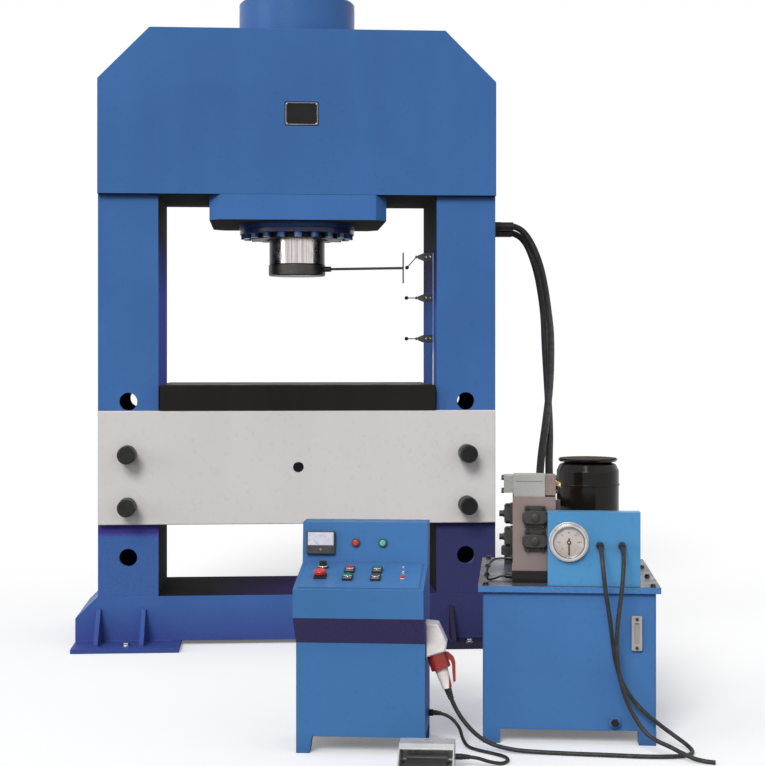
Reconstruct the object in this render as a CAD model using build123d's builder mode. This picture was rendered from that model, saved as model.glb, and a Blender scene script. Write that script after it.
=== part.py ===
from build123d import *
import os
from math import cos, radians, sin, tan

# Hydraulic press with a welded frame, a height-adjustable bed, a separate power pack,
# a control console and a foot switch. Millimetres, +Z up, the front faces -Y.
# The origin is on the floor, at the centre of the press's anchor holes.

os.makedirs("parts", exist_ok=True)

# Frame
opening_width = 1300
upright_width = 280
frame_depth = 640
face_plate = 30
side_plate = 20
base_top = 230
base_clearance = 20
base_flare = 104
flare_height = 128
crown_bottom = 2100
crown_height = 774
crown_chamfer = 240
crown_proud = 32
crown_plate = 32

# Feet
foot_plate = 20
foot_width = 488
foot_reach = 203
gusset_thickness = 20
gusset_height = 150
gusset_reach = 150
gusset_spacing = 207
gusset_shift = 32
gusset_nose = 12
anchor_hole_radius = 17
drain_hole_radius = 12
anchor_hole_inset = 80

# Bed, pins and worktable
pin_radius = 41
pin_clearance = 0.5
pin_pitch = 242
lowest_pin_height = 408
pin_rows = 4
pin_overhang = 100
pin_chamfer = 5
bed_plate = 38
bed_chamfer = 3
bed_gap = 2
bed_height = 528
bed_end_inset = 5
bed_edge_above_pin = 200
lifting_hole_radius = 25
web_thickness = 20
web_count = 4
table_thickness = 120
table_chamfer = 4
table_side_gap = 8

# Hydraulic cylinder and ram
block_width = 830
block_height = 118
block_chamfer = 52
barrel_radius = 280
cylinder_bore_radius = 200
barrel_top = 3060
barrel_end_wall = 100
barrel_below_block = 22
barrel_chamfer = 10
gland_radius = 278
gland_thickness = 25
gland_recess = 18
gland_sleeve = 60
gland_lip = 8
gland_chamfer = 3
gland_bolt_count = 20
gland_bolt_circle = 253
bolt_head_radius = 19
bolt_head_height = 23
ram_radius = 134.7
ram_clearance = 0.3
ram_chamfer = 6
piston_thickness = 150
piston_top_gap = 30
nose_bottom = 1735
nose_height = 57
nose_radius = 138
nose_chamfer = 5

# Striker and limit switches
striker_angle = -20.6
striker_reach = 538
striker_rod_radius = 6
striker_boss_radius = 13
striker_boss_length = 36
striker_height = 145
striker_bar = 5
striker_bar_width = 30
striker_level = 1767
switch_levels = (1820, 1624, 1429)
switch_length = 75
switch_width = 32
switch_height = 36
switch_nose_height = 16
wire_radius = 3.5
lever_hub_radius = 7
lever_hub_width = 12
lever_rod_radius = 2.5
lever_roller_radius = 9
lever_roller_width = 8
lever_gap = 0.4
straight_lever = 48
upper_lever = 68
upper_lever_angle = 48

# Power pack
pack_x = 904
pack_y = -2365
unit_angle = -8.5
tank_width = 600
tank_depth = 760
tank_bottom = 50
tank_top = 528
tank_wall = 5
tank_foot = 60
drain_radius = 20
drain_length = 18
lid_overhang = 16
lid_thickness = 22
drain_x = 157
drain_height = 82
motor_x = 85
motor_y = 450
motor_radius = 106
motor_fin_count = 36
fin_height = 8
fin_thickness = 3
motor_flange = 14
terminal_box_width = 100
terminal_box_height = 120
terminal_box_reach = 46
cowl_radius = 116
cowl_bottom = 772
cowl_lap = 16
cowl_top = 962
cowl_wall = 1.5
canopy_rise = 10
pump_radius = 62
pump_length = 190
block_x = -120
block_y = 75
manifold_width = 152
manifold_depth = 200
manifold_top = 853
manifold_base_height = 42
base_overhang = 2
port_width = 100
port_height = 50
port_depth = 15
coupling_nut = 18
directional_valve_blocks = (
    (-227, -192, 84, 172, 13, 74),
    (-192, -82, 80, 180, 0, 77),
    (-82, -44, 85, 175, 5, 75),
)
solenoid_rows = ((794, 74), (711, 76))
solenoid_width = 70
solenoid_depth = 40
solenoid_front_x = -117
solenoid_side_y = 170
solenoid_screw = 8
box_x = 86
box_width = 320
box_depth = 65
box_height = 258
box_wall = 3
gauge_x = -1
gauge_height = 704
gauge_radius = 70
gauge_lip = 8
gauge_flange = 5
gauge_depth = 24
dial_radius = 52
dial_recess = 10
pointer_pin_radius = 3
pointer_hub_radius = 7
pointer_lift = 2
pointer_thickness = 2.5
pointer_width = 5
pointer_length = 44
pointer_tail = 14
cable_hole_x = (106, 182)
cable_hole_height = 693
collar_radius = 13
collar_length = 8
level_gauge_x = 233
level_gauge_height = 390
level_gauge_width = 36
level_gauge_length = 120
level_gauge_depth = 12
breather_x = -200
breather_y = 600
breather_radius = 40
breather_height = 70

# Console
console_x = 172
console_y = -2455
console_width = 440
console_depth = 300
console_wall = 3
leg_height = 58
leg_size = 54
leg_taper = 9
cable_entry_radius = 16
knee_height = 376
apron_bottom = 474
apron_top = 570
apron_reach = 90
riser_y = 176
riser_bottom = 626
riser_lean = 14
console_top = 767
button_names = ("button_pump_on", "button_lower", "button_pump_off", "button_raise")
button_columns = (-45, 50)
button_rows = (114, 190)
button_radius = 11
button_clearance = 0.3
button_proud = 6
button_travel = 4
bezel_size = 34
bezel_height = 8
label_height = 18
panel_centre = 140
panel_width = 405
panel_height = 250
panel_thickness = 3
stop_x = -140
stop_travel = 5
stop_head_radius = 21
stop_head_height = 12
selector_height_on_desk = 208
knob_length = 26
knob_width = 8
knob_height = 14
riser_row = 70
meter_x = -155
meter_width = 100
meter_height = 80
meter_depth = 18
lamp_columns = (-33, 62)
lamp_bezel_radius = 15
lamp_bezel_height = 6
lamp_radius = 11
lamp_height = 8
socket_y = 60
socket_bottom = 326
socket_depth = 85
plug_lean = 18
plug_collar_radius = 34
plug_collar_length = 55
plug_handle_radius = 23
plug_handle_length = 70
plug_hook = (
    (62, 17),
    (76, 14),
    (94, -2),
    (100, -22),
    (101, -84),
    (93, -88),
    (90, -60),
    (88, -26),
    (82, -12),
    (66, -6),
)
pedal_gland_y = 230
pedal_gland_height = 95
gland_boss_radius = 12
gland_boss_length = 15

# Foot switch
pedal_x = 388
pedal_y = -2612
pedal_width = 180
pedal_depth = 250
pedal_hood_height = 95
pedal_wall = 4
pedal_base = 12
pedal_plate_width = 130
pedal_hinge_inset = 45
pedal_pin_height = 30
pedal_plate_rise = 12
pedal_plate_thickness = 8
pedal_pin_radius = 5
pedal_gland_inset = 25
pedal_exit_height = 35
pedal_gland_length = 20
pedal_profile = (
    (0, 0),
    (0, 68),
    (-30, pedal_hood_height),
    (-105, pedal_hood_height),
    (-222, 28),
    (-pedal_depth, 24),
    (-pedal_depth, 0),
)

# Hoses and cables
hose_diameter = 30
cable_diameter = 15
pedal_cable_diameter = 12
longest_bend = 3000
bend_share = 0.45
coupling_length = 98
coupling_radius = 20
coupling_hex_radius = 23
coupling_hex_length = 40
bulkhead_points = ((-230, 1966), (-180, 1938))
hose_end_x = (-95, -50)
hose_end_height = 800
hose_end_length = 60
hose_front_points = [
    Vector(1028, -230, 1966),
    Vector(1080, -230, 1966),
    Vector(1129, -243, 1943),
    Vector(1162, -270, 1897),
    Vector(1170, -328, 1800),
    Vector(1158, -428, 1697),
    Vector(1140, -570, 1576),
    Vector(1115, -790, 1440),
    Vector(1050, -1150, 1250),
    Vector(967, -1520, 1088),
    Vector(915, -1705, 955),
    Vector(892, -1806, 852),
]
hose_rear_points = [
    Vector(1028, -180, 1938),
    Vector(1078, -180, 1938),
    Vector(1123, -192, 1914),
    Vector(1150, -220, 1866),
    Vector(1152, -275, 1772),
    Vector(1138, -378, 1668),
    Vector(1117, -525, 1546),
    Vector(1085, -760, 1410),
    Vector(1040, -1130, 1210),
    Vector(987, -1495, 1050),
    Vector(947, -1700, 936),
    Vector(932, -1808, 848),
]
hose_end_run = 110
supply_on_pack = (
    (106, -8, 693),
    (106, -52, 693),
    (108, -94, 670),
    (111, -119, 627),
    (118, -124, 556),
    (134, -108, 460),
    (147, -82, 360),
    (160, -60, 280),
    (188, -44, 205),
    (236, -36, 142),
)
supply_points = [
    Vector(1195, -2449, 88),
    Vector(1252, -2456, 46),
    Vector(1292, -2492, 19),
    Vector(1298, -2545, 8),
    Vector(1262, -2584, 8),
    Vector(1205, -2598, 9),
    Vector(1118, -2588, 8),
    Vector(1000, -2560, 9),
    Vector(890, -2532, 8),
    Vector(780, -2506, 9),
    Vector(685, -2482, 12),
    Vector(605, -2462, 32),
    Vector(545, -2450, 78),
]
plug_run = 68
mains_on_pack = (
    (182, -8, 693),
    (182, -52, 693),
    (182, -95, 671),
    (180, -122, 629),
    (174, -131, 556),
    (161, -129, 460),
    (155, -118, 362),
    (164, -111, 272),
    (184, -108, 192),
    (214, -108, 128),
)
mains_points = [
    Vector(1130, -2525, 78),
    Vector(1164, -2556, 53),
    Vector(1203, -2595, 42),
    Vector(1241, -2632, 25),
    Vector(1285, -2662, 9),
    Vector(1334, -2682, 8),
]
pedal_cable_points = [
    Vector(583, -2664, 19),
    Vector(628, -2646, 7),
    Vector(658, -2604, 6),
    Vector(655, -2550, 7),
    Vector(620, -2500, 6),
    Vector(575, -2456, 7),
    Vector(544, -2402, 6),
    Vector(533, -2347, 20),
    Vector(528, -2300, 55),
]
cable_run = 44

# Sizes that follow from the ones above
opening_half = opening_width / 2
upright_x = opening_half + upright_width / 2
frame_half_width = opening_half + upright_width
front = frame_depth / 2
anchor_hole_y = front + foot_reach - anchor_hole_inset
crown_top = crown_bottom + crown_height
crown_front = front + crown_proud
pin_hole_radius = pin_radius + pin_clearance
pin_heights = [lowest_pin_height + row * pin_pitch for row in range(pin_rows)]
bed_top = pin_heights[2] + bed_edge_above_pin
bed_bottom = bed_top - bed_height
bed_inner = front + bed_gap
bed_outer = bed_inner + bed_plate
table_top = bed_top + table_thickness
block_bottom = crown_bottom - block_height
barrel_bottom = block_bottom - barrel_below_block
gland_bottom = barrel_bottom - gland_thickness
nose_top = nose_bottom + nose_height
barrel_inner_top = barrel_top - barrel_end_wall
piston_top = barrel_inner_top - piston_top_gap
lid_top = tank_top + lid_thickness
striker_x = striker_reach * cos(radians(striker_angle))
striker_y = striker_reach * sin(radians(striker_angle))
pivot_x = opening_half - switch_length - lever_gap - lever_hub_radius


def unit_plane(x, y, angle):
    """Floor plane of a unit that stands at (x, y), turned by angle degrees about Z."""
    turn = radians(angle)
    return Plane(origin=(x, y, 0), x_dir=(cos(turn), sin(turn), 0), z_dir=(0, 0, 1))


press = unit_plane(0, 0, 0)
pack = unit_plane(pack_x, pack_y, unit_angle)
console = unit_plane(console_x, console_y, unit_angle)
pedal = unit_plane(pedal_x, pedal_y, unit_angle)


def level(unit, height):
    """Horizontal plane of a unit at a height; its normal points up."""
    return Plane(origin=unit.from_local_coords((0, 0, height)), x_dir=unit.x_dir, z_dir=unit.z_dir)


def facing(unit, y, x=0, z=0):
    """Upright plane across a unit, with sketch Y up; its normal points to the unit's front."""
    return Plane(origin=unit.from_local_coords((x, y, z)), x_dir=unit.x_dir, z_dir=-unit.y_dir)


def sideways(unit, x, y=0, z=0):
    """Upright plane along a unit's depth, with sketch Y up; its normal points to its right."""
    return Plane(origin=unit.from_local_coords((x, y, z)), x_dir=unit.y_dir, z_dir=unit.x_dir)


def leaning(unit, start, end):
    """Plane across a unit that rises from start (y, z) to end (y, z); sketch Y runs up it."""
    rise = unit.y_dir * (end[0] - start[0]) + Vector(0, 0, end[1] - start[1])
    origin = unit.from_local_coords((0, *start))
    return Plane(origin=origin, x_dir=unit.x_dir, z_dir=unit.x_dir.cross(rise))


# Press frame: uprights, base, feet and crown

for side_name, side in (("left", -1), ("right", 1)):
    with BuildPart() as upright:
        with BuildSketch(level(press, base_top)):
            with Locations((side * upright_x, 0)):
                Rectangle(upright_width, frame_depth)
                Rectangle(upright_width - 2 * side_plate, frame_depth - 2 * face_plate, mode=Mode.SUBTRACT)
        extrude(amount=crown_bottom - base_top)
        with BuildSketch(facing(press, -front)):
            with Locations(*[(side * upright_x, height) for height in pin_heights]):
                Circle(pin_hole_radius)
        extrude(amount=-frame_depth, mode=Mode.SUBTRACT)
    upright.part.label = f"{side_name}_upright"
    export_step(upright.part, f"parts/{side_name}_upright.step")

    foot_outer = side * (frame_half_width + base_flare)
    foot_middle = foot_outer - side * foot_width / 2
    with BuildPart() as foot:
        with BuildSketch(level(press, 0)):
            with Locations((foot_middle, 0)):
                Rectangle(foot_width, frame_depth + 2 * foot_reach)
            with Locations(*[(side * upright_x, end * anchor_hole_y) for end in (-1, 1)]):
                Circle(anchor_hole_radius, mode=Mode.SUBTRACT)
        extrude(amount=foot_plate)
        for end in (-1, 1):
            for offset_x in (-gusset_spacing / 2, gusset_spacing / 2):
                gusset_x = side * (upright_x + gusset_shift) + offset_x
                with BuildSketch(sideways(press, gusset_x - gusset_thickness / 2)):
                    with BuildLine():
                        Polyline(
                            (end * front, foot_plate),
                            (end * (front + gusset_reach), foot_plate),
                            (end * (front + gusset_reach), foot_plate + gusset_nose),
                            (end * (front + gusset_nose), foot_plate + gusset_height),
                            (end * front, foot_plate + gusset_height),
                            close=True,
                        )
                    make_face()
                extrude(amount=gusset_thickness)
    foot.part.label = f"{side_name}_foot"
    export_step(foot.part, f"parts/{side_name}_foot.step")

base_profile = (
    (frame_half_width + base_flare, base_clearance),
    (frame_half_width + base_flare, flare_height),
    (frame_half_width, base_top),
    (-frame_half_width, base_top),
    (-frame_half_width - base_flare, flare_height),
    (-frame_half_width - base_flare, base_clearance),
)
base_webs = (-upright_x, -opening_half / 2, 0, opening_half / 2, upright_x)
drain_places = [side * x for side in (-1, 1) for x in (opening_half / 4, 0.75 * opening_half, frame_half_width)]
with BuildPart() as base_beam:
    with BuildSketch(facing(press, -front)):
        with BuildLine():
            Polyline(*base_profile, close=True)
        make_face()
    extrude(amount=-frame_depth)
    with BuildSketch(facing(press, -front + face_plate)):
        with BuildLine():
            Polyline(*base_profile, close=True)
        make_face()
        offset(amount=-side_plate, kind=Kind.INTERSECTION, mode=Mode.REPLACE)
    extrude(amount=-(frame_depth - 2 * face_plate), mode=Mode.SUBTRACT)
    with BuildSketch(level(press, base_clearance)):
        with Locations(*[(x, 0) for x in base_webs]):
            Rectangle(web_thickness, frame_depth - 2 * face_plate)
    extrude(amount=base_top - base_clearance)
    with BuildSketch(level(press, base_clearance)):
        with Locations(*[(x, 0) for x in drain_places]):
            Circle(drain_hole_radius)
    extrude(amount=side_plate, mode=Mode.SUBTRACT)
base_beam.part.label = "base_beam"
export_step(base_beam.part, "parts/base_beam.step")

with BuildPart() as crown_box:
    with BuildSketch(facing(press, -crown_front)):
        with BuildLine():
            Polyline(
                (-frame_half_width, crown_bottom),
                (-frame_half_width, crown_top - crown_chamfer),
                (-frame_half_width + crown_chamfer, crown_top),
                (frame_half_width - crown_chamfer, crown_top),
                (frame_half_width, crown_top - crown_chamfer),
                (frame_half_width, crown_bottom),
                close=True,
            )
        make_face()
    extrude(amount=-2 * crown_front)
    with BuildSketch(facing(press, -crown_front + crown_plate)):
        with BuildLine():
            inner_side = frame_half_width - side_plate
            inner_shoulder = crown_top - crown_chamfer - side_plate * tan(radians(22.5))
            inner_corner = frame_half_width - crown_chamfer - side_plate * tan(radians(22.5))
            Polyline(
                (-inner_side, crown_bottom + side_plate),
                (-inner_side, inner_shoulder),
                (-inner_corner, crown_top - side_plate),
                (inner_corner, crown_top - side_plate),
                (inner_side, inner_shoulder),
                (inner_side, crown_bottom + side_plate),
                close=True,
            )
        make_face()
    extrude(amount=-2 * (crown_front - crown_plate), mode=Mode.SUBTRACT)
    with BuildSketch(sideways(press, -opening_half)):
        with Locations((0, crown_bottom + crown_height / 2)):
            Rectangle(2 * (crown_front - crown_plate), crown_height - 2 * side_plate)
    extrude(amount=side_plate)
    with BuildSketch(sideways(press, opening_half - side_plate)):
        with Locations((0, crown_bottom + crown_height / 2)):
            Rectangle(2 * (crown_front - crown_plate), crown_height - 2 * side_plate)
    extrude(amount=side_plate)
    with BuildSketch(level(press, crown_bottom)):
        Circle(barrel_radius)
    extrude(amount=crown_height, mode=Mode.SUBTRACT)
crown_box.part.label = "crown_box"
export_step(crown_box.part, "parts/crown_box.step")


# Bed, worktable and the pins that carry the bed

for end_name, end in (("front", -1), ("rear", 1)):
    with BuildPart() as bed_side:
        with BuildSketch(facing(press, end * (bed_inner + bed_outer) / 2)):
            with Locations((0, (bed_top + bed_bottom) / 2)):
                Rectangle(2 * (frame_half_width - bed_end_inset), bed_height)
                Circle(lifting_hole_radius, mode=Mode.SUBTRACT)
            with Locations(*[(x, height) for x in (-upright_x, upright_x) for height in pin_heights[1:3]]):
                Circle(pin_hole_radius, mode=Mode.SUBTRACT)
        extrude(amount=bed_plate / 2, both=True)
        chamfer(bed_side.faces().sort_by(Axis.Y)[0 if end < 0 else -1].outer_wire().edges(), bed_chamfer)
    bed_side.part.label = f"bed_{end_name}_plate"
    export_step(bed_side.part, f"parts/bed_{end_name}_plate.step")

with BuildPart() as bed_webs:
    web_span = opening_width - 2 * table_side_gap - web_thickness
    for index in range(web_count):
        web_x = -web_span / 2 + index * web_span / (web_count - 1)
        with BuildSketch(sideways(press, web_x - web_thickness / 2)):
            with Locations((0, (bed_top + bed_bottom) / 2)):
                Rectangle(2 * bed_inner, bed_height - 2 * bed_end_inset)
        extrude(amount=web_thickness)
bed_webs.part.label = "bed_webs"
export_step(bed_webs.part, "parts/bed_webs.step")

with BuildPart() as table_plate:
    with BuildSketch(level(press, bed_top)):
        Rectangle(opening_width - 2 * table_side_gap, 2 * bed_outer)
    extrude(amount=table_thickness)
    chamfer(table_plate.faces().sort_by(Axis.Z)[-1].edges(), table_chamfer)
table_plate.part.label = "table_plate"
export_step(table_plate.part, "parts/table_plate.step")

for side_name, side in (("left", -1), ("right", 1)):
    for row_name, height in (("lower", pin_heights[1]), ("upper", pin_heights[2])):
        with BuildPart() as pin:
            with BuildSketch(facing(press, bed_outer + pin_overhang)):
                with Locations((side * upright_x, height)):
                    Circle(pin_radius)
            extrude(amount=2 * (bed_outer + pin_overhang))
            chamfer(pin.edges().filter_by(GeomType.CIRCLE), pin_chamfer)
        pin.part.label = f"pin_{row_name}_{side_name}"
        export_step(pin.part, f"parts/pin_{row_name}_{side_name}.step")

# Cylinder, its block under the crown, gland and bolts

with BuildPart() as ram_block:
    with BuildSketch(level(press, block_bottom)):
        Rectangle(block_width, 2 * crown_front)
        chamfer(vertices(), block_chamfer)
        Circle(barrel_radius, mode=Mode.SUBTRACT)
    extrude(amount=block_height)
ram_block.part.label = "ram_block"
export_step(ram_block.part, "parts/ram_block.step")

with BuildPart() as cylinder_barrel:
    with BuildSketch(level(press, barrel_bottom)):
        Circle(barrel_radius)
    extrude(amount=barrel_top - barrel_bottom)
    with BuildSketch(level(press, barrel_bottom)):
        Circle(cylinder_bore_radius)
    extrude(amount=barrel_inner_top - barrel_bottom, mode=Mode.SUBTRACT)
    chamfer(cylinder_barrel.faces().sort_by(Axis.Z)[-1].edges(), barrel_chamfer)
cylinder_barrel.part.label = "cylinder_barrel"
export_step(cylinder_barrel.part, "parts/cylinder_barrel.step")

with BuildPart() as gland_flange:
    with BuildSketch(level(press, gland_bottom)):
        Circle(gland_radius)
    extrude(amount=gland_thickness)
    with BuildSketch(level(press, barrel_bottom)):
        Circle(cylinder_bore_radius - ram_clearance)
    extrude(amount=gland_sleeve)
    with BuildSketch(level(press, gland_bottom)):
        Circle(cylinder_bore_radius + gland_recess)
        Circle(ram_radius + gland_recess, mode=Mode.SUBTRACT)
    extrude(amount=-gland_lip)
    with BuildSketch(level(press, gland_bottom - gland_lip)):
        Circle(ram_radius + ram_clearance)
    extrude(amount=gland_thickness + gland_sleeve + gland_lip, mode=Mode.SUBTRACT)
    chamfer(gland_flange.edges().filter_by(GeomType.CIRCLE).sort_by(SortBy.RADIUS)[-1], gland_chamfer)
gland_flange.part.label = "gland_flange"
export_step(gland_flange.part, "parts/gland_flange.step")

with BuildPart() as gland_bolts:
    with BuildSketch(level(press, gland_bottom)):
        with PolarLocations(gland_bolt_circle, gland_bolt_count):
            RegularPolygon(bolt_head_radius, 6)
    extrude(amount=-bolt_head_height)
gland_bolts.part.label = "gland_bolts"
export_step(gland_bolts.part, "parts/gland_bolts.step")

# Ram, its nose ring and the striker arm that trips the switches

with BuildPart() as ram:
    with BuildSketch(level(press, nose_top)):
        Circle(ram_radius)
    extrude(amount=piston_top - piston_thickness - nose_top)
    with BuildSketch(level(press, piston_top - piston_thickness)):
        Circle(cylinder_bore_radius - ram_clearance)
    extrude(amount=piston_thickness)
    chamfer(ram.faces().sort_by(Axis.Z)[-1].edges(), ram_chamfer)
ram.part.label = "ram"
export_step(ram.part, "parts/ram.step")

with BuildPart() as ram_nose:
    with BuildSketch(level(press, nose_bottom)):
        Circle(nose_radius)
    extrude(amount=nose_height)
    chamfer(ram_nose.edges().filter_by(GeomType.CIRCLE), nose_chamfer)
ram_nose.part.label = "ram_nose"
export_step(ram_nose.part, "parts/ram_nose.step")

striker_turn = Plane(
    origin=(0, 0, striker_level),
    x_dir=(-sin(radians(striker_angle)), cos(radians(striker_angle)), 0),
    z_dir=(cos(radians(striker_angle)), sin(radians(striker_angle)), 0),
)
with BuildPart() as striker_arm:
    with BuildSketch(striker_turn.offset(nose_radius - 1)):
        Circle(striker_boss_radius)
    extrude(amount=striker_boss_length)
    with BuildSketch(striker_turn.offset(nose_radius)):
        Circle(striker_rod_radius)
    extrude(amount=striker_reach - nose_radius)
    with BuildSketch(level(press, striker_level - striker_height / 2)):
        with Locations((striker_x, striker_y)):
            Rectangle(striker_bar, striker_bar_width)
    extrude(amount=striker_height)
    with BuildSketch(level(press, nose_bottom)):
        Circle(nose_radius)
    extrude(amount=nose_height, mode=Mode.SUBTRACT)
striker_arm.part.label = "striker_arm"
export_step(striker_arm.part, "parts/striker_arm.step")

with BuildPart() as limit_switches:
    for height in switch_levels:
        with BuildSketch(level(press, height - switch_height / 2)):
            with Locations((opening_half - switch_length / 3, striker_y)):
                Rectangle(2 * switch_length / 3, switch_width)
        extrude(amount=switch_height)
        with BuildSketch(sideways(press, opening_half - 2 * switch_length / 3, 0, height)):
            with Locations((striker_y, 0)):
                RectangleRounded(switch_width, switch_height, 3)
        with BuildSketch(sideways(press, opening_half - switch_length, 0, height)):
            with Locations((striker_y, 0)):
                RectangleRounded(switch_nose_height, switch_nose_height, 3)
        loft()
limit_switches.part.label = "limit_switches"
export_step(limit_switches.part, "parts/limit_switches.step")

with BuildPart() as switch_wire:
    with BuildSketch(level(press, bed_top)):
        with Locations((opening_half - wire_radius, striker_y - switch_width / 2 - wire_radius)):
            Circle(wire_radius)
    extrude(amount=switch_levels[0] + switch_height / 2 - bed_top)
switch_wire.part.label = "switch_wire"
export_step(switch_wire.part, "parts/switch_wire.step")

lever_rows = (
    ("upper", switch_levels[0], upper_lever, upper_lever_angle),
    ("middle", switch_levels[1], straight_lever, 0),
    ("lower", switch_levels[2], straight_lever, 0),
)
for row_name, height, length, dip in lever_rows:
    reach = Vector(-cos(radians(dip)), 0, -sin(radians(dip)))
    pivot = Vector(pivot_x, striker_y, height)
    with BuildPart() as switch_lever:
        with BuildSketch(Plane(origin=pivot, x_dir=(0, 1, 0), z_dir=reach)):
            Circle(lever_rod_radius)
        extrude(amount=length)
        tip = pivot + reach * length
        with BuildSketch(facing(press, striker_y)):
            with Locations((tip.X, tip.Z)):
                Circle(lever_roller_radius)
        extrude(amount=lever_roller_width / 2, both=True)
        with BuildSketch(facing(press, striker_y)):
            with Locations((pivot.X, pivot.Z)):
                Circle(lever_hub_radius)
        extrude(amount=lever_hub_width / 2, both=True)
    switch_lever.part.label = f"switch_lever_{row_name}"
    export_step(switch_lever.part, f"parts/switch_lever_{row_name}.step")

# Couplings where the hoses leave the right upright

with BuildPart() as hose_bulkhead:
    with BuildSketch(sideways(press, frame_half_width)):
        with Locations(*bulkhead_points):
            RegularPolygon(coupling_hex_radius, 6)
    extrude(amount=coupling_hex_length)
    with BuildSketch(sideways(press, frame_half_width)):
        with Locations(*bulkhead_points):
            Circle(coupling_radius)
    extrude(amount=coupling_length)
hose_bulkhead.part.label = "hose_bulkhead"
export_step(hose_bulkhead.part, "parts/hose_bulkhead.step")

# Power pack: tank, lid and pump

with BuildPart() as oil_tank:
    with BuildSketch(level(pack, tank_bottom)):
        with Locations((0, tank_depth / 2)):
            RectangleRounded(tank_width, tank_depth, 8)
    extrude(amount=tank_top - tank_bottom)
    with BuildSketch(level(pack, tank_bottom + tank_wall)):
        with Locations((0, tank_depth / 2)):
            Rectangle(tank_width - 2 * tank_wall, tank_depth - 2 * tank_wall)
    extrude(amount=tank_top - tank_bottom - tank_wall, mode=Mode.SUBTRACT)
    with BuildSketch(level(pack, 0)):
        with Locations((0, tank_depth / 2)):
            with GridLocations(tank_width - tank_foot, tank_depth - tank_foot, 2, 2):
                Rectangle(tank_foot, tank_foot)
    extrude(amount=tank_bottom)
    with BuildSketch(facing(pack, 0)):
        with Locations((drain_x, drain_height)):
            Circle(drain_radius)
    extrude(amount=drain_length)
    with BuildSketch(facing(pack, -drain_length)):
        with Locations((drain_x, drain_height)):
            RegularPolygon(0.7 * drain_radius, 6)
    extrude(amount=drain_length / 2)
oil_tank.part.label = "oil_tank"
export_step(oil_tank.part, "parts/oil_tank.step")

with BuildPart() as tank_lid:
    with BuildSketch(level(pack, tank_top)):
        with Locations((0, tank_depth / 2)):
            Rectangle(tank_width + 2 * lid_overhang, tank_depth + 2 * lid_overhang)
    extrude(amount=lid_thickness)
    chamfer(tank_lid.faces().sort_by(Axis.Z)[-1].edges(), 1.5)
tank_lid.part.label = "tank_lid"
export_step(tank_lid.part, "parts/tank_lid.step")

with BuildPart() as pump:
    with BuildSketch(level(pack, tank_top)):
        with Locations((motor_x, motor_y)):
            Circle(pump_radius)
    extrude(amount=-pump_length)
    with BuildSketch(level(pack, tank_top - pump_length)):
        with Locations((motor_x, motor_y)):
            Circle(pump_radius / 2)
    extrude(amount=-pump_length / 3)
pump.part.label = "pump"
export_step(pump.part, "parts/pump.step")

# Power pack: motor and cowl

with BuildPart() as motor:
    with BuildSketch(level(pack, lid_top)):
        with Locations((motor_x, motor_y)):
            Circle(motor_radius)
            with PolarLocations(motor_radius, motor_fin_count):
                Rectangle(2 * fin_height, fin_thickness)
    extrude(amount=cowl_bottom + cowl_lap - lid_top)
    with BuildSketch(level(pack, lid_top)):
        with Locations((motor_x, motor_y)):
            Circle(motor_radius + fin_height + 3)
    extrude(amount=motor_flange)
    with BuildSketch(facing(pack, motor_y)):
        with Locations((motor_x, lid_top + terminal_box_height)):
            Rectangle(terminal_box_width, terminal_box_width)
    extrude(amount=-(motor_radius + terminal_box_reach))
motor.part.label = "motor"
export_step(motor.part, "parts/motor.step")

with BuildPart() as motor_cowl:
    cowl_axis = Axis(pack.from_local_coords((motor_x, motor_y, 0)), (0, 0, 1))
    with BuildSketch(facing(pack, motor_y)):
        with BuildLine():
            Polyline(
                (motor_x, cowl_top - cowl_wall),
                (motor_x + 0.55 * cowl_radius, cowl_top - 3 - cowl_wall),
                (motor_x + 0.88 * cowl_radius, cowl_top - 18 - cowl_wall),
                (motor_x + cowl_radius - cowl_wall, cowl_top - 42),
                (motor_x + cowl_radius - cowl_wall, cowl_bottom),
                (motor_x + cowl_radius, cowl_bottom),
                (motor_x + cowl_radius, cowl_top - 40),
                (motor_x + 0.9 * cowl_radius, cowl_top - 16),
                (motor_x + 0.56 * cowl_radius, cowl_top - 2),
                (motor_x + 0.2 * cowl_radius, cowl_top),
                (motor_x + 0.2 * cowl_radius, cowl_top + canopy_rise),
                (motor_x + 0.92 * cowl_radius, cowl_top + canopy_rise - 6),
                (motor_x + 0.92 * cowl_radius, cowl_top + canopy_rise - 4),
                (motor_x, cowl_top + canopy_rise + 3),
                close=True,
            )
        make_face()
    revolve(axis=cowl_axis)
motor_cowl.part.label = "motor_cowl"
export_step(motor_cowl.part, "parts/motor_cowl.step")

# Power pack: manifold and valves

with BuildPart() as manifold_base:
    with BuildSketch(level(pack, lid_top)):
        with Locations((block_x, block_y + manifold_depth / 2)):
            Rectangle(manifold_width + 2 * base_overhang, manifold_depth + 2 * base_overhang)
    extrude(amount=manifold_base_height)
manifold_base.part.label = "manifold_base"
export_step(manifold_base.part, "parts/manifold_base.step")

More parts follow.
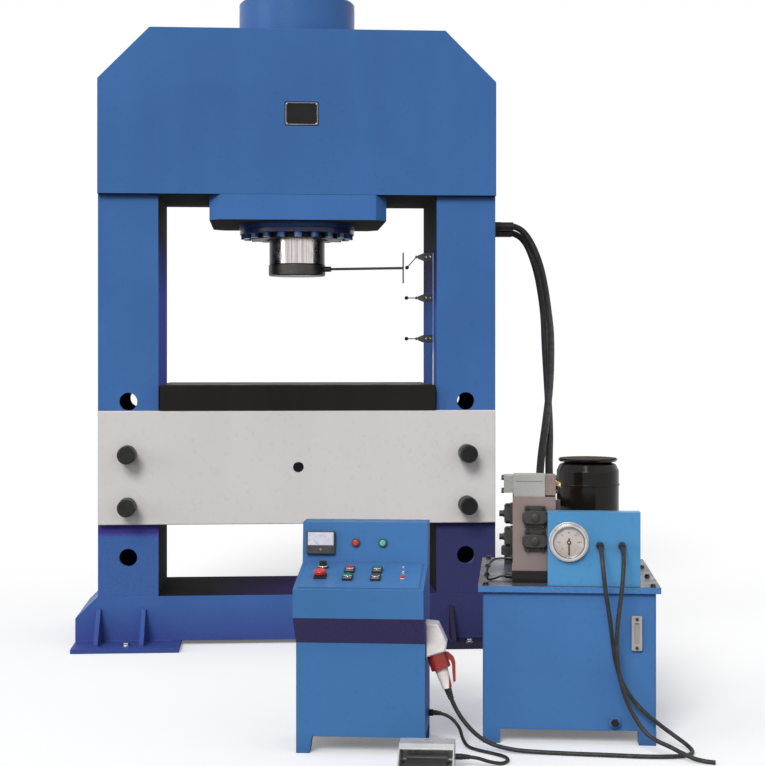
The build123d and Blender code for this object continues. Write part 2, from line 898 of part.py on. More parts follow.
with BuildPart() as valve_manifold:
    with BuildSketch(level(pack, lid_top + manifold_base_height)):
        with Locations((block_x, block_y + manifold_depth / 2)):
            Rectangle(manifold_width, manifold_depth)
    extrude(amount=manifold_top - lid_top - manifold_base_height)
    chamfer(valve_manifold.edges().filter_by(Axis.Z), 2)
    with BuildSketch(level(pack, hose_end_height - port_height / 2)):
        with Locations((sum(hose_end_x) / 2, block_y + manifold_depth + port_depth / 2)):
            Rectangle(port_width, port_depth)
    extrude(amount=port_height)
    hose_end_y = block_y + manifold_depth + hose_end_length
    with BuildSketch(facing(pack, hose_end_y)):
        with Locations(*[(x, hose_end_height) for x in hose_end_x]):
            Circle(coupling_radius)
    extrude(amount=hose_end_length - port_depth)
    with BuildSketch(facing(pack, block_y + manifold_depth + port_depth + coupling_nut)):
        with Locations(*[(x, hose_end_height) for x in hose_end_x]):
            RegularPolygon(coupling_hex_radius, 6)
    extrude(amount=coupling_nut)
valve_manifold.part.label = "valve_manifold"
export_step(valve_manifold.part, "parts/valve_manifold.step")

with BuildPart() as directional_valve:
    for left, right, near, far, low, high in directional_valve_blocks:
        with BuildSketch(level(pack, manifold_top + low)):
            with Locations(((left + right) / 2, (near + far) / 2)):
                Rectangle(right - left, far - near)
        extrude(amount=high - low)
    for end_x, reach in ((directional_valve_blocks[0][0], -9), (directional_valve_blocks[2][1], 9)):
        with BuildSketch(sideways(pack, end_x, 0, manifold_top)):
            with Locations(*[(y, z) for y in (96, 164) for z in (18, 64)]):
                Circle(7)
        extrude(amount=reach)
directional_valve.part.label = "directional_valve"
export_step(directional_valve.part, "parts/directional_valve.step")

with BuildPart() as solenoid_valves:
    for centre_height, height in solenoid_rows:
        with BuildSketch(facing(pack, block_y)):
            with Locations((solenoid_front_x, centre_height)):
                RectangleRounded(solenoid_width, height, 12)
        extrude(amount=0.6 * solenoid_depth)
        with BuildSketch(facing(pack, block_y - 0.6 * solenoid_depth)):
            with Locations((solenoid_front_x, centre_height)):
                RectangleRounded(0.8 * solenoid_width, 0.76 * height, 6)
        extrude(amount=0.4 * solenoid_depth)
        with BuildSketch(facing(pack, block_y)):
            with Locations((solenoid_front_x, centre_height)):
                with GridLocations(solenoid_width - 12, height - 10, 2, 2):
                    Circle(solenoid_screw)
        extrude(amount=0.75 * solenoid_depth)
        manifold_side = block_x - manifold_width / 2
        with BuildSketch(sideways(pack, manifold_side)):
            with Locations((solenoid_side_y, centre_height)):
                RectangleRounded(solenoid_width, height, 12)
        extrude(amount=-0.9 * solenoid_depth)
        with BuildSketch(sideways(pack, manifold_side - 0.9 * solenoid_depth)):
            with Locations((solenoid_side_y, centre_height)):
                Circle(0.18 * solenoid_width)
        extrude(amount=-0.3 * solenoid_depth)
solenoid_valves.part.label = "solenoid_valves"
export_step(solenoid_valves.part, "parts/solenoid_valves.step")

# Power pack: gauge box, pressure gauge, level gauge and breather

with BuildPart() as gauge_box:
    with BuildSketch(level(pack, lid_top)):
        with Locations((box_x, box_depth / 2)):
            Rectangle(box_width, box_depth)
    extrude(amount=box_height)
    with BuildSketch(level(pack, lid_top)):
        with Locations((box_x, box_depth / 2)):
            Rectangle(box_width - 2 * box_wall, box_depth - 2 * box_wall)
    extrude(amount=box_height - box_wall, mode=Mode.SUBTRACT)
    with BuildSketch(facing(pack, 0)):
        with Locations(*[(x, cable_hole_height) for x in cable_hole_x]):
            Circle(collar_radius)
    extrude(amount=collar_length)
gauge_box.part.label = "gauge_box"
export_step(gauge_box.part, "parts/gauge_box.step")

with BuildPart() as pressure_gauge:
    with BuildSketch(facing(pack, 0)):
        with Locations((gauge_x, gauge_height)):
            Circle(gauge_radius)
    extrude(amount=gauge_flange)
    with BuildSketch(facing(pack, -gauge_flange)):
        with Locations((gauge_x, gauge_height)):
            Circle(gauge_radius - gauge_lip)
    extrude(amount=gauge_depth - gauge_flange)
    with BuildSketch(facing(pack, -gauge_depth)):
        with Locations((gauge_x, gauge_height)):
            Circle(dial_radius)
    extrude(amount=-dial_recess, mode=Mode.SUBTRACT)
    with BuildSketch(facing(pack, -gauge_depth + dial_recess)):
        with Locations((gauge_x, gauge_height)):
            Circle(pointer_pin_radius)
    extrude(amount=dial_recess - 2)
    chamfer(pressure_gauge.edges().filter_by(GeomType.CIRCLE).group_by(SortBy.RADIUS)[-1], 2)
pressure_gauge.part.label = "pressure_gauge"
export_step(pressure_gauge.part, "parts/pressure_gauge.step")

with BuildPart() as gauge_pointer:
    with BuildSketch(facing(pack, -gauge_depth + dial_recess - pointer_lift)):
        with Locations((gauge_x, gauge_height)):
            Circle(pointer_hub_radius)
        with Locations((gauge_x, gauge_height - pointer_length / 2)):
            Trapezoid(pointer_width, pointer_length, 89)
        with Locations((gauge_x, gauge_height + pointer_tail / 2)):
            Rectangle(pointer_width, pointer_tail)
        with Locations((gauge_x, gauge_height)):
            Circle(pointer_pin_radius + button_clearance, mode=Mode.SUBTRACT)
    extrude(amount=pointer_thickness)
gauge_pointer.part.label = "gauge_pointer"
export_step(gauge_pointer.part, "parts/gauge_pointer.step")

with BuildPart() as level_gauge:
    with BuildSketch(facing(pack, 0)):
        with Locations((level_gauge_x, level_gauge_height)):
            RectangleRounded(level_gauge_width, level_gauge_length, 4)
    extrude(amount=level_gauge_depth)
    with BuildSketch(facing(pack, -level_gauge_depth)):
        with Locations((level_gauge_x, level_gauge_height)):
            RectangleRounded(0.45 * level_gauge_width, 0.6 * level_gauge_length, 2)
    extrude(amount=-level_gauge_depth / 2, mode=Mode.SUBTRACT)
    with BuildSketch(facing(pack, -level_gauge_depth)):
        with Locations(*[(level_gauge_x, level_gauge_height + z) for z in (-50, 50)]):
            RegularPolygon(6, 6)
    extrude(amount=4)
level_gauge.part.label = "level_gauge"
export_step(level_gauge.part, "parts/level_gauge.step")

with BuildPart() as breather_cap:
    with BuildSketch(level(pack, lid_top)):
        with Locations((breather_x, breather_y)):
            Circle(0.7 * breather_radius)
    extrude(amount=breather_height / 2)
    with BuildSketch(level(pack, lid_top + breather_height / 2)):
        with Locations((breather_x, breather_y)):
            Circle(breather_radius)
    extrude(amount=breather_height / 2)
    chamfer(breather_cap.faces().sort_by(Axis.Z)[-1].edges(), 5)
breather_cap.part.label = "breather_cap"
export_step(breather_cap.part, "parts/breather_cap.step")

# Console cabinet

console_profile = (
    (0, leg_height),
    (0, knee_height),
    (-apron_reach, apron_bottom),
    (-apron_reach, apron_top),
    (riser_y, riser_bottom),
    (riser_y + riser_lean, console_top),
    (console_depth, console_top),
    (console_depth, leg_height),
)
with BuildPart() as console_cabinet:
    with BuildSketch(sideways(console, -console_width / 2)):
        with BuildLine():
            Polyline(*console_profile, close=True)
        make_face()
    extrude(amount=console_width)
    with BuildSketch(sideways(console, -console_width / 2 + console_wall)):
        with BuildLine():
            Polyline(*console_profile, close=True)
        make_face()
        offset(amount=-console_wall, kind=Kind.INTERSECTION, mode=Mode.REPLACE)
    extrude(amount=console_width - 2 * console_wall, mode=Mode.SUBTRACT)
    with BuildSketch(level(console, leg_height)):
        with Locations((0, console_depth - leg_size)):
            Circle(cable_entry_radius)
    extrude(amount=console_wall, mode=Mode.SUBTRACT)
    for leg_x in (-1, 1):
        for leg_y in (leg_size / 2, console_depth - leg_size / 2):
            leg_centre = leg_x * (console_width - leg_size) / 2
            with BuildSketch(level(console, leg_height)):
                with Locations((leg_centre, leg_y)):
                    Rectangle(leg_size, leg_size)
            with BuildSketch(level(console, 0)):
                with Locations((leg_centre + leg_x * leg_taper / 2, leg_y)):
                    Rectangle(leg_size - leg_taper, leg_size)
            loft()
    with BuildSketch(sideways(console, console_width / 2)):
        with Locations((pedal_gland_y, pedal_gland_height)):
            Circle(gland_boss_radius)
    extrude(amount=gland_boss_length)
console_cabinet.part.label = "console_cabinet"
export_step(console_cabinet.part, "parts/console_cabinet.step")

# Console: desk panel with its button frames, buttons, selector and lamps

desk = leaning(console, (-apron_reach, apron_top), (riser_y, riser_bottom))
riser = leaning(console, (riser_y, riser_bottom), (riser_y + riser_lean, console_top))
button_places = [(x, y) for y in button_rows for x in button_columns]
stop_place = (stop_x, button_rows[0])
selector_place = (stop_x, selector_height_on_desk)

with BuildPart() as control_panel:
    with BuildSketch(desk):
        with Locations((0, panel_centre)):
            Rectangle(panel_width, panel_height)
    extrude(amount=panel_thickness)
    with BuildSketch(desk.offset(panel_thickness)):
        with Locations(*[(x, y - label_height / 2) for x, y in button_places]):
            RectangleRounded(bezel_size, bezel_size + label_height, 2)
        with Locations(stop_place):
            Rectangle(bezel_size + 8, bezel_size + 8)
        with Locations(selector_place):
            Circle(bezel_size / 2)
    extrude(amount=bezel_height)
    with BuildSketch(desk.offset(panel_thickness + bezel_height)):
        with Locations(*button_places, stop_place):
            Circle(button_radius + button_clearance)
    extrude(amount=-bezel_height, mode=Mode.SUBTRACT)
control_panel.part.label = "control_panel"
export_step(control_panel.part, "parts/control_panel.step")

for button_name, place in zip(button_names, button_places):
    with BuildPart() as button:
        with BuildSketch(desk.offset(panel_thickness + button_travel + button_clearance)):
            with Locations(place):
                Circle(button_radius)
        extrude(amount=bezel_height + button_proud - button_travel)
        chamfer(button.faces().sort_by(Axis(desk.origin, desk.z_dir))[-1].edges(), 1)
    button.part.label = button_name
    export_step(button.part, f"parts/{button_name}.step")

with BuildPart() as stop_button:
    with BuildSketch(desk.offset(panel_thickness + stop_travel + button_clearance)):
        with Locations(stop_place):
            Circle(button_radius)
    extrude(amount=bezel_height + 2)
    stop_head_base = panel_thickness + bezel_height + stop_travel + 2
    with BuildSketch(desk.offset(stop_head_base)):
        with Locations(stop_place):
            Circle(stop_head_radius)
    extrude(amount=stop_head_height)
    fillet(stop_button.faces().sort_by(Axis(desk.origin, desk.z_dir))[-1].edges(), 5)
stop_button.part.label = "stop_button"
export_step(stop_button.part, "parts/stop_button.step")

with BuildPart() as selector_knob:
    with BuildSketch(desk.offset(panel_thickness + bezel_height)):
        with Locations(selector_place):
            Circle(bezel_size / 2 - 3)
    extrude(amount=4)
    with BuildSketch(desk.offset(panel_thickness + bezel_height + 4)):
        with Locations(selector_place):
            SlotOverall(knob_length, knob_width)
    extrude(amount=knob_height)
selector_knob.part.label = "selector_knob"
export_step(selector_knob.part, "parts/selector_knob.step")

with BuildPart() as panel_meter:
    with BuildSketch(riser):
        with Locations((meter_x, riser_row)):
            RectangleRounded(meter_width, meter_height, 3)
    extrude(amount=meter_depth)
    chamfer(panel_meter.faces().sort_by(Axis(riser.origin, riser.z_dir))[-1].edges(), 2)
panel_meter.part.label = "panel_meter"
export_step(panel_meter.part, "parts/panel_meter.step")

with BuildPart() as pilot_lamps:
    with BuildSketch(riser):
        with Locations(*[(x, riser_row) for x in lamp_columns]):
            Circle(lamp_bezel_radius)
    extrude(amount=lamp_bezel_height)
    with BuildSketch(riser.offset(lamp_bezel_height)):
        with Locations(*[(x, riser_row) for x in lamp_columns]):
            Circle(lamp_radius)
    extrude(amount=lamp_height)
    fillet(pilot_lamps.faces().group_by(Axis(riser.origin, riser.z_dir))[-1].edges(), 4)
pilot_lamps.part.label = "pilot_lamps"
export_step(pilot_lamps.part, "parts/pilot_lamps.step")

# Console: socket and the plug of the supply cable

socket_corner = (console_width / 2, socket_bottom)
socket_slope = tan(radians(plug_lean))
with BuildPart() as cable_socket:
    with BuildSketch(facing(console, socket_y + socket_depth / 2)):
        with BuildLine():
            Polyline(
                socket_corner,
                (socket_corner[0], socket_bottom + 119),
                (socket_corner[0] + 42, socket_bottom + 114),
                (socket_corner[0] + 72, socket_bottom + 50),
                (socket_corner[0] + 67, socket_bottom + 67 * socket_slope),
                close=True,
            )
        make_face()
    extrude(amount=socket_depth)
    chamfer(cable_socket.faces().filter_by(GeomType.PLANE).sort_by(Axis.Y)[0].outer_wire().edges(), 5)
cable_socket.part.label = "cable_socket"
export_step(cable_socket.part, "parts/cable_socket.step")

plug_start = console.from_local_coords((socket_corner[0] + 34, socket_y, socket_bottom + 34 * socket_slope))
plug_dir = console.x_dir * sin(radians(plug_lean)) - Vector(0, 0, cos(radians(plug_lean)))
plug_plane = Plane(origin=plug_start, x_dir=console.y_dir, z_dir=plug_dir)
plug_end = plug_start + plug_dir * (plug_collar_length + plug_handle_length)
with BuildPart() as cable_plug:
    with BuildSketch(plug_plane):
        Circle(plug_collar_radius)
    extrude(amount=plug_collar_length)
    with BuildSketch(plug_plane.offset(plug_collar_length)):
        Circle(plug_handle_radius)
    with BuildSketch(plug_plane.offset(plug_collar_length + plug_handle_length)):
        Circle(0.7 * plug_handle_radius)
    loft()
    with BuildSketch(facing(console, socket_y + 6)):
        with BuildLine():
            Polyline(*[(socket_corner[0] + x, socket_bottom + z) for x, z in plug_hook], close=True)
        make_face()
    extrude(amount=12)
cable_plug.part.label = "cable_plug"
export_step(cable_plug.part, "parts/cable_plug.step")

# Foot switch

with BuildPart() as pedal_housing:
    with BuildSketch(sideways(pedal, -pedal_width / 2)):
        with BuildLine():
            Polyline(*pedal_profile, close=True)
        make_face()
    extrude(amount=pedal_width)
    with BuildSketch(sideways(pedal, -pedal_width / 2 + pedal_wall)):
        with BuildLine():
            Polyline(*pedal_profile, close=True)
        make_face()
        offset(amount=-pedal_wall, kind=Kind.INTERSECTION, mode=Mode.REPLACE)
    extrude(amount=pedal_width - 2 * pedal_wall, mode=Mode.SUBTRACT)
    with BuildSketch(level(pedal, pedal_base)):
        with Locations((0, -pedal_depth / 2 - pedal_depth / 4)):
            Rectangle(pedal_width - 2 * pedal_wall, pedal_depth / 2)
    extrude(amount=pedal_hood_height, mode=Mode.SUBTRACT)
    with BuildSketch(level(pedal, 0)):
        with Locations((0, -pedal_depth / 2)):
            Rectangle(pedal_width, pedal_depth)
    extrude(amount=pedal_base)
    with BuildSketch(sideways(pedal, -pedal_width / 2)):
        with Locations((-pedal_hinge_inset, pedal_pin_height)):
            Circle(pedal_pin_radius)
    extrude(amount=pedal_width)
    with BuildSketch(sideways(pedal, pedal_width / 2)):
        with Locations((-pedal_gland_inset, pedal_exit_height)):
            Circle(gland_boss_radius - 2)
    extrude(amount=pedal_gland_length)
pedal_housing.part.label = "pedal_housing"
export_step(pedal_housing.part, "parts/pedal_housing.step")

with BuildPart() as pedal_plate:
    with BuildSketch(sideways(pedal, -pedal_plate_width / 2)):
        with Locations((-pedal_hinge_inset, pedal_pin_height)):
            Circle(pedal_pin_radius + pedal_plate_thickness)
        with BuildLine():
            Polyline(
                (-pedal_hinge_inset, pedal_pin_height + pedal_pin_radius + pedal_plate_thickness),
                (-pedal_hinge_inset, pedal_pin_height + pedal_pin_radius),
                (-pedal_depth + 22, pedal_pin_height + pedal_plate_rise),
                (-pedal_depth + 18, pedal_pin_height + pedal_plate_rise + pedal_plate_thickness),
                close=True,
            )
        make_face()
        with Locations((-pedal_hinge_inset, pedal_pin_height)):
            Circle(pedal_pin_radius + button_clearance, mode=Mode.SUBTRACT)
    extrude(amount=pedal_plate_width)
pedal_plate.part.label = "pedal_plate"
export_step(pedal_plate.part, "parts/pedal_plate.step")

# Hoses and cables: each follows straight runs joined by wide bends


def bend_radii(points):
    """Radius of each bend: a share of the shorter run beside it over the tangent of half its turn."""
    radii = []
    for index in range(1, len(points) - 1):
        run_in = points[index] - points[index - 1]
        run_out = points[index + 1] - points[index]
        half_turn = radians(run_in.get_angle(run_out)) / 2
        radii.append(min(longest_bend, bend_share * min(run_in.length, run_out.length) / tan(half_turn)))
    return radii


def on_unit(unit, *points):
    """Points of a unit's own frame, in the shared frame."""
    return [unit.from_local_coords(point) for point in points]


hose_ends = [
    on_unit(pack, (x, hose_end_y + hose_end_run, hose_end_height), (x, hose_end_y, hose_end_height))
    for x in hose_end_x
]
supply_end = [plug_end + plug_dir * plug_run, plug_end]
pedal_exit_x = pedal_width / 2 + pedal_gland_length
pedal_cable_start = on_unit(
    pedal,
    (pedal_exit_x, -pedal_gland_inset, pedal_exit_height),
    (pedal_exit_x + cable_run, -pedal_gland_inset, pedal_exit_height),
)
gland_face_x = console_width / 2 + gland_boss_length
pedal_cable_end = on_unit(
    console,
    (gland_face_x + cable_run, pedal_gland_y, pedal_gland_height),
    (gland_face_x, pedal_gland_y, pedal_gland_height),
)
cords = (
    ("hose_front", hose_diameter, hose_front_points + hose_ends[0]),
    ("hose_rear", hose_diameter, hose_rear_points + hose_ends[1]),
    ("supply_cable", cable_diameter, on_unit(pack, *supply_on_pack) + supply_points + supply_end),
    ("mains_cable", cable_diameter, on_unit(pack, *mains_on_pack) + mains_points),
    ("pedal_cable", pedal_cable_diameter, pedal_cable_start + pedal_cable_points + pedal_cable_end),
)
for cord_name, diameter, corners in cords:
    radii = bend_radii(corners)
    print(cord_name, "bend radii", [round(radius) for radius in radii])
    with BuildPart() as cord:
        with BuildLine():
            FilletPolyline(*corners, radius=radii)
        with BuildSketch(Plane(origin=corners[0], z_dir=corners[1] - corners[0])):
            Circle(diameter / 2)
        sweep()
    cord.part.label = cord_name
    export_step(cord.part, f"parts/{cord_name}.step")
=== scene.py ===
"""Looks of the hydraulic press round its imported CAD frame: camera, finishes, fittings, cords and light."""
import math

import bmesh
import bpy
from mathutils import Matrix, Vector


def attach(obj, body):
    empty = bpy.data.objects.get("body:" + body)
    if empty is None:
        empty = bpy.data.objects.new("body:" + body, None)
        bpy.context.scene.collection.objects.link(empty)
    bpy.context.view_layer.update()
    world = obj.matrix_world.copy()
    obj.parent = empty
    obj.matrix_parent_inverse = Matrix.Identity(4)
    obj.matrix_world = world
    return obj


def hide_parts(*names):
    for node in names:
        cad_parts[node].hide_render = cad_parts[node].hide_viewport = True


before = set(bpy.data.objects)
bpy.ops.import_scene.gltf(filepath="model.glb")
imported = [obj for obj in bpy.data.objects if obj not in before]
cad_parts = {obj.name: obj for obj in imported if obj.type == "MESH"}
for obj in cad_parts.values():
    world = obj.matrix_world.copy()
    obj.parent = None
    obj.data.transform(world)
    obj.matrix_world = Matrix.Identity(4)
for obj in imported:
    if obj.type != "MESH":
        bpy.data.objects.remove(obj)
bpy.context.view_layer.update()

scene = bpy.context.scene
scene.view_settings.view_transform = "Standard"

# Camera, fitted: the focal length and the horizon's row are in the photograph's pixels
IMAGE_HEIGHT = 766
FOCAL_PIXELS = 1638
HORIZON_ROW = 352.7
SENSOR = 36.0
CAMERA_PLACE = (-0.139, -8.003, 1.362)
CAMERA_YAW = math.radians(-3.98)

camera_data = bpy.data.cameras.new("camera")
camera_data.sensor_width = SENSOR
camera_data.lens = FOCAL_PIXELS * SENSOR / IMAGE_HEIGHT
camera_data.shift_y = (HORIZON_ROW - IMAGE_HEIGHT / 2) / IMAGE_HEIGHT
camera = bpy.data.objects.new("camera", camera_data)
camera.location = CAMERA_PLACE
camera.rotation_euler = (math.radians(90), 0, CAMERA_YAW)
scene.collection.objects.link(camera)
scene.camera = camera

# The standing units and the planes on them, in metres

UNIT_TURN = math.radians(-8.5)
# Axes of a unit or plane
X = 0
Y = 1
Z = 2


def unit_at(x, y):
    """Frame of a unit that stands at (x, y) on the floor, turned like the power pack."""
    return Matrix.Translation((x, y, 0)) @ Matrix.Rotation(UNIT_TURN, 4, "Z")


PRESS = Matrix.Identity(4)
PACK = unit_at(0.904, -2.365)
CONSOLE = unit_at(0.172, -2.455)
PEDAL = unit_at(0.388, -2.612)


def on_plane(unit, origin, x_axis, y_axis):
    """Matrix of a plane on a unit, with its third axis along the plane's normal."""
    x_axis = Vector(x_axis)
    y_axis = Vector(y_axis).normalized()
    rotation = Matrix((x_axis, y_axis, x_axis.cross(y_axis))).transposed()
    return unit @ Matrix.Translation(origin) @ rotation.to_4x4()


def shifted(plane, x, y, z=0):
    """A unit or plane, moved along its own axes."""
    return plane @ Matrix.Translation((x, y, z))


def plane_along(point, direction):
    """Plane at a point, with its normal along a direction."""
    return Matrix.Translation(point) @ direction.to_track_quat("Z", "Y").to_matrix().to_4x4()


def facing(unit, x, y, z):
    """Upright plane that faces the unit's front."""
    return on_plane(unit, (x, y, z), (1, 0, 0), (0, 0, 1))


def sideways(unit, x, y, z, side=1):
    """Upright plane that faces the unit's right, or its left where side is -1."""
    return on_plane(unit, (x, y, z), (0, side, 0), (0, 0, 1))


def leaning(unit, start, end):
    """Plane that rises across a unit from start (y, z) to end (y, z)."""
    return on_plane(unit, (0, *start), (1, 0, 0), (0, end[0] - start[0], end[1] - start[1]))


DESK = leaning(CONSOLE, (-0.090, 0.570), (0.176, 0.626))
RISER = leaning(CONSOLE, (0.176, 0.626), (0.190, 0.767))

# Materials: every finish is built from nodes in the object's own coordinates

SHADER_SAMPLES = 6
# How far the rounded normal agrees with the face's own: where an edge starts, and where it is full
EDGE_START = 0.995
EDGE_FULL = 0.9
# The range that most of a noise lies in
PATTERN_LOW = 0.3
PATTERN_HIGH = 0.7
# The Mix node's sockets for colours
MIX_FIRST = 6
MIX_SECOND = 7
MIX_RESULT = 2


class Finish:
    """One procedural material; its methods add nodes and return their output sockets."""

    def __init__(self, name):
        self.material = bpy.data.materials.new(name)
        self.material.use_nodes = True
        self.tree = self.material.node_tree
        self.tree.nodes.clear()
        self.shader = self.add("ShaderNodeBsdfPrincipled")
        output = self.add("ShaderNodeOutputMaterial")
        self.tree.links.new(self.shader.outputs[0], output.inputs[0])
        self.coordinates = self.add("ShaderNodeTexCoord").outputs["Object"]

    def add(self, kind, **settings):
        """Adds a node with these attributes."""
        node = self.tree.nodes.new(kind)
        for key, value in settings.items():
            setattr(node, key, value)
        return node

    def put(self, socket, value):
        """Links a socket to another one, or sets its value."""
        if isinstance(value, bpy.types.NodeSocket):
            self.tree.links.new(value, socket)
        else:
            socket.default_value = value

    def set(self, **values):
        """Sets the shader's sockets; words are joined by an underscore."""
        for key, value in values.items():
            self.put(self.shader.inputs[key.replace("_", " ")], value)

    def math(self, operation, first, second, clamp=False):
        """A sum, product, comparison or the like of two numbers."""
        node = self.add("ShaderNodeMath", operation=operation, use_clamp=clamp)
        self.put(node.inputs[0], first)
        self.put(node.inputs[1], second)
        return node.outputs[0]

    def times(self, first, second):
        """Product of two numbers."""
        return self.math("MULTIPLY", first, second)

    def stretched(self, stretch):
        """Object coordinates, scaled along each axis."""
        node = self.add("ShaderNodeMapping")
        self.put(node.inputs["Vector"], self.coordinates)
        node.inputs["Scale"].default_value = stretch
        return node.outputs[0]

    def noise(self, scale, detail, stretch=None, distortion=0.0):
        """Cloudy pattern; scale is in waves a metre."""
        node = self.add("ShaderNodeTexNoise")
        self.put(node.inputs["Vector"], self.stretched(stretch) if stretch else self.coordinates)
        self.put(node.inputs["Scale"], scale)
        self.put(node.inputs["Detail"], detail)
        self.put(node.inputs["Distortion"], distortion)
        return node.outputs["Fac"]

    def cells(self, scale):
        """Distance inside small cells, for cast and moulded grain."""
        node = self.add("ShaderNodeTexVoronoi")
        self.put(node.inputs["Vector"], self.coordinates)
        self.put(node.inputs["Scale"], scale)
        return node.outputs["Distance"]

    def between(self, value, low, high, start=0.0, end=1.0):
        """Maps low..high of a value to start..end, clamped."""
        node = self.add("ShaderNodeMapRange")
        self.put(node.inputs["Value"], value)
        for key, number in (("From Min", low), ("From Max", high), ("To Min", start), ("To Max", end)):
            self.put(node.inputs[key], number)
        return node.outputs[0]

    def mix(self, amount, first, second):
        """Blends two colours."""
        node = self.add("ShaderNodeMix", data_type="RGBA")
        self.put(node.inputs["Factor"], amount)
        for socket, value in ((MIX_FIRST, first), (MIX_SECOND, second)):
            self.put(node.inputs[socket], (*value, 1) if isinstance(value, tuple) else value)
        return node.outputs[MIX_RESULT]

    def mottled(self, pattern, colour, low, high):
        """A colour that a pattern varies between two of its shades."""
        amount = self.between(pattern, PATTERN_LOW, PATTERN_HIGH)
        return self.mix(amount, shade(colour, low), shade(colour, high))

    def roughness(self, scale, detail, gloss, less):
        """Cloudy roughness, from less than the gloss value to a little more."""
        return self.between(self.noise(scale, detail), PATTERN_LOW, PATTERN_HIGH, gloss - less, gloss + 0.12)

    def along(self, plane, axis):
        """How far a point lies along an axis of a plane, from the plane's origin, in metres."""
        direction = plane.to_3x3().col[axis].normalized()
        node = self.add("ShaderNodeVectorMath", operation="DOT_PRODUCT")
        self.put(node.inputs[0], self.coordinates)
        node.inputs[1].default_value = direction
        return self.math("SUBTRACT", node.outputs["Value"], plane.translation.dot(direction))

    def crevice(self, reach):
        """1 deep in a corner, 0 in the open."""
        node = self.add("ShaderNodeAmbientOcclusion", samples=SHADER_SAMPLES)
        node.inputs["Distance"].default_value = reach
        return self.math("SUBTRACT", 1.0, node.outputs["AO"], clamp=True)

    def rounded(self, radius):
        """Normal that rounds the sharp edges of the mesh."""
        node = self.add("ShaderNodeBevel", samples=SHADER_SAMPLES)
        node.inputs["Radius"].default_value = radius
        return node.outputs[0]

    def edges(self, normal):
        """1 on outer and inner edges, 0 on flat faces."""
        node = self.add("ShaderNodeVectorMath", operation="DOT_PRODUCT")
        self.put(node.inputs[0], normal)
        self.put(node.inputs[1], self.add("ShaderNodeNewGeometry").outputs["Normal"])
        return self.between(node.outputs["Value"], EDGE_START, EDGE_FULL)

    def bump(self, height, distance, strength, normal=None):
        """Raises the surface by a pattern, by up to distance metres."""
        node = self.add("ShaderNodeBump")
        self.put(node.inputs["Height"], height)
        node.inputs["Distance"].default_value = distance
        node.inputs["Strength"].default_value = strength
        if normal:
            self.put(node.inputs["Normal"], normal)
        return node.outputs[0]


def shade(colour, amount, lift=0.0):
    """A colour made lighter or darker by a factor, and then paler by lift."""
    return tuple(min(1.0, channel * amount + lift) for channel in colour)


def completed(finish, base, rough, parts):
    """Sets colour and roughness, with other ones where the masks say, and gives the material."""
    grain = finish.noise(160, 4)
    for mask_of, colour, roughness in parts:
        mask = mask_of(finish)
        base = finish.mix(mask, base, finish.mottled(grain, colour, 0.85, 1.12))
        rough = finish.math("ADD", rough, finish.times(mask, finish.math("SUBTRACT", roughness, rough)))
    finish.set(Base_Color=base, Roughness=rough)
    return finish.material


def painted(name, colour, gloss=0.38, mottle=0.10, peel=0.5, wear_and_glint=0.35, crevice_shade=0.55, radius=0.003,
            shine=0.14, parts=()):
    """Sprayed enamel on welded plate: clouds and runs, orange peel, painted shade in corners and recesses,
    and rubbed edges that also carry a painted highlight.
    parts are (mask maker, colour, roughness) for what the same node holds in another finish."""
    finish = Finish(name)
    normal = finish.rounded(radius)
    clouds = finish.noise(1.1, 4, distortion=0.6)
    runs = finish.noise(5.5, 3, stretch=(1, 1, 0.16))
    specks = finish.noise(46, 5)
    base = finish.mottled(clouds, colour, 1 - mottle, 1 + mottle)
    base = finish.mix(finish.between(runs, 0.42, 0.72, 0, 0.4), base, shade(colour, 1 + 1.6 * mottle))
    base = finish.mix(finish.between(specks, 0.58, 0.8, 0, 0.35), base, shade(colour, 0.72))
    # Edges lightened in noisy patches: rubbed paint, and partly a painted highlight along the edges
    worn_and_glinting_edges = finish.times(finish.edges(normal), finish.between(finish.noise(70, 6), 0.4, 0.62))
    base = finish.mix(finish.times(worn_and_glinting_edges, wear_and_glint), base, shade(colour, 0.35, 0.16))
    # Painted shade: corners and recesses darkened towards violet, in noisy patches
    shaded_corners = finish.times(finish.crevice(0.07), finish.between(finish.noise(14, 5), 0.25, 0.75, 0.5, 1.0))
    base = finish.mix(finish.times(shaded_corners, crevice_shade), base, CREVICE_SHADE)
    waves = finish.bump(finish.noise(3.2, 2), 0.004, 0.35, normal)
    skin = finish.bump(finish.noise(420, 2), 0.00025, peel, waves)
    finish.set(Normal=skin, Specular_IOR_Level=shine)
    return completed(finish, base, finish.roughness(9, 5, gloss, 0.07), parts)


def steel(name, colour, gloss, lines=(40, 40, 40), depth=0.00012, stain=0.3, contrast=(0.82, 1.12), parts=()):
    """Bare, plated or blacked steel with tool lines, oil stains, painted shade in crevices and bright edges.
    """
    finish = Finish(name)
    normal = finish.rounded(0.0015)
    marks = finish.noise(9, 6, stretch=lines)
    stains = finish.noise(6, 5, distortion=1.0)
    base = finish.mottled(marks, colour, *contrast)
    base = finish.mix(finish.between(stains, 0.5, 0.8, 0, stain), base, shade(colour, 0.45))
    # Painted shade: crevices darkened
    base = finish.mix(finish.times(finish.crevice(0.012), 0.75), base, shade(colour, 0.12))
    base = finish.mix(finish.times(finish.edges(normal), 0.3), base, shade(colour, 0.5, 0.3))
    finish.set(Normal=finish.bump(marks, depth, 0.6, normal), Metallic=1.0)
    return completed(finish, base, finish.roughness(22, 5, gloss, 0.05), parts)


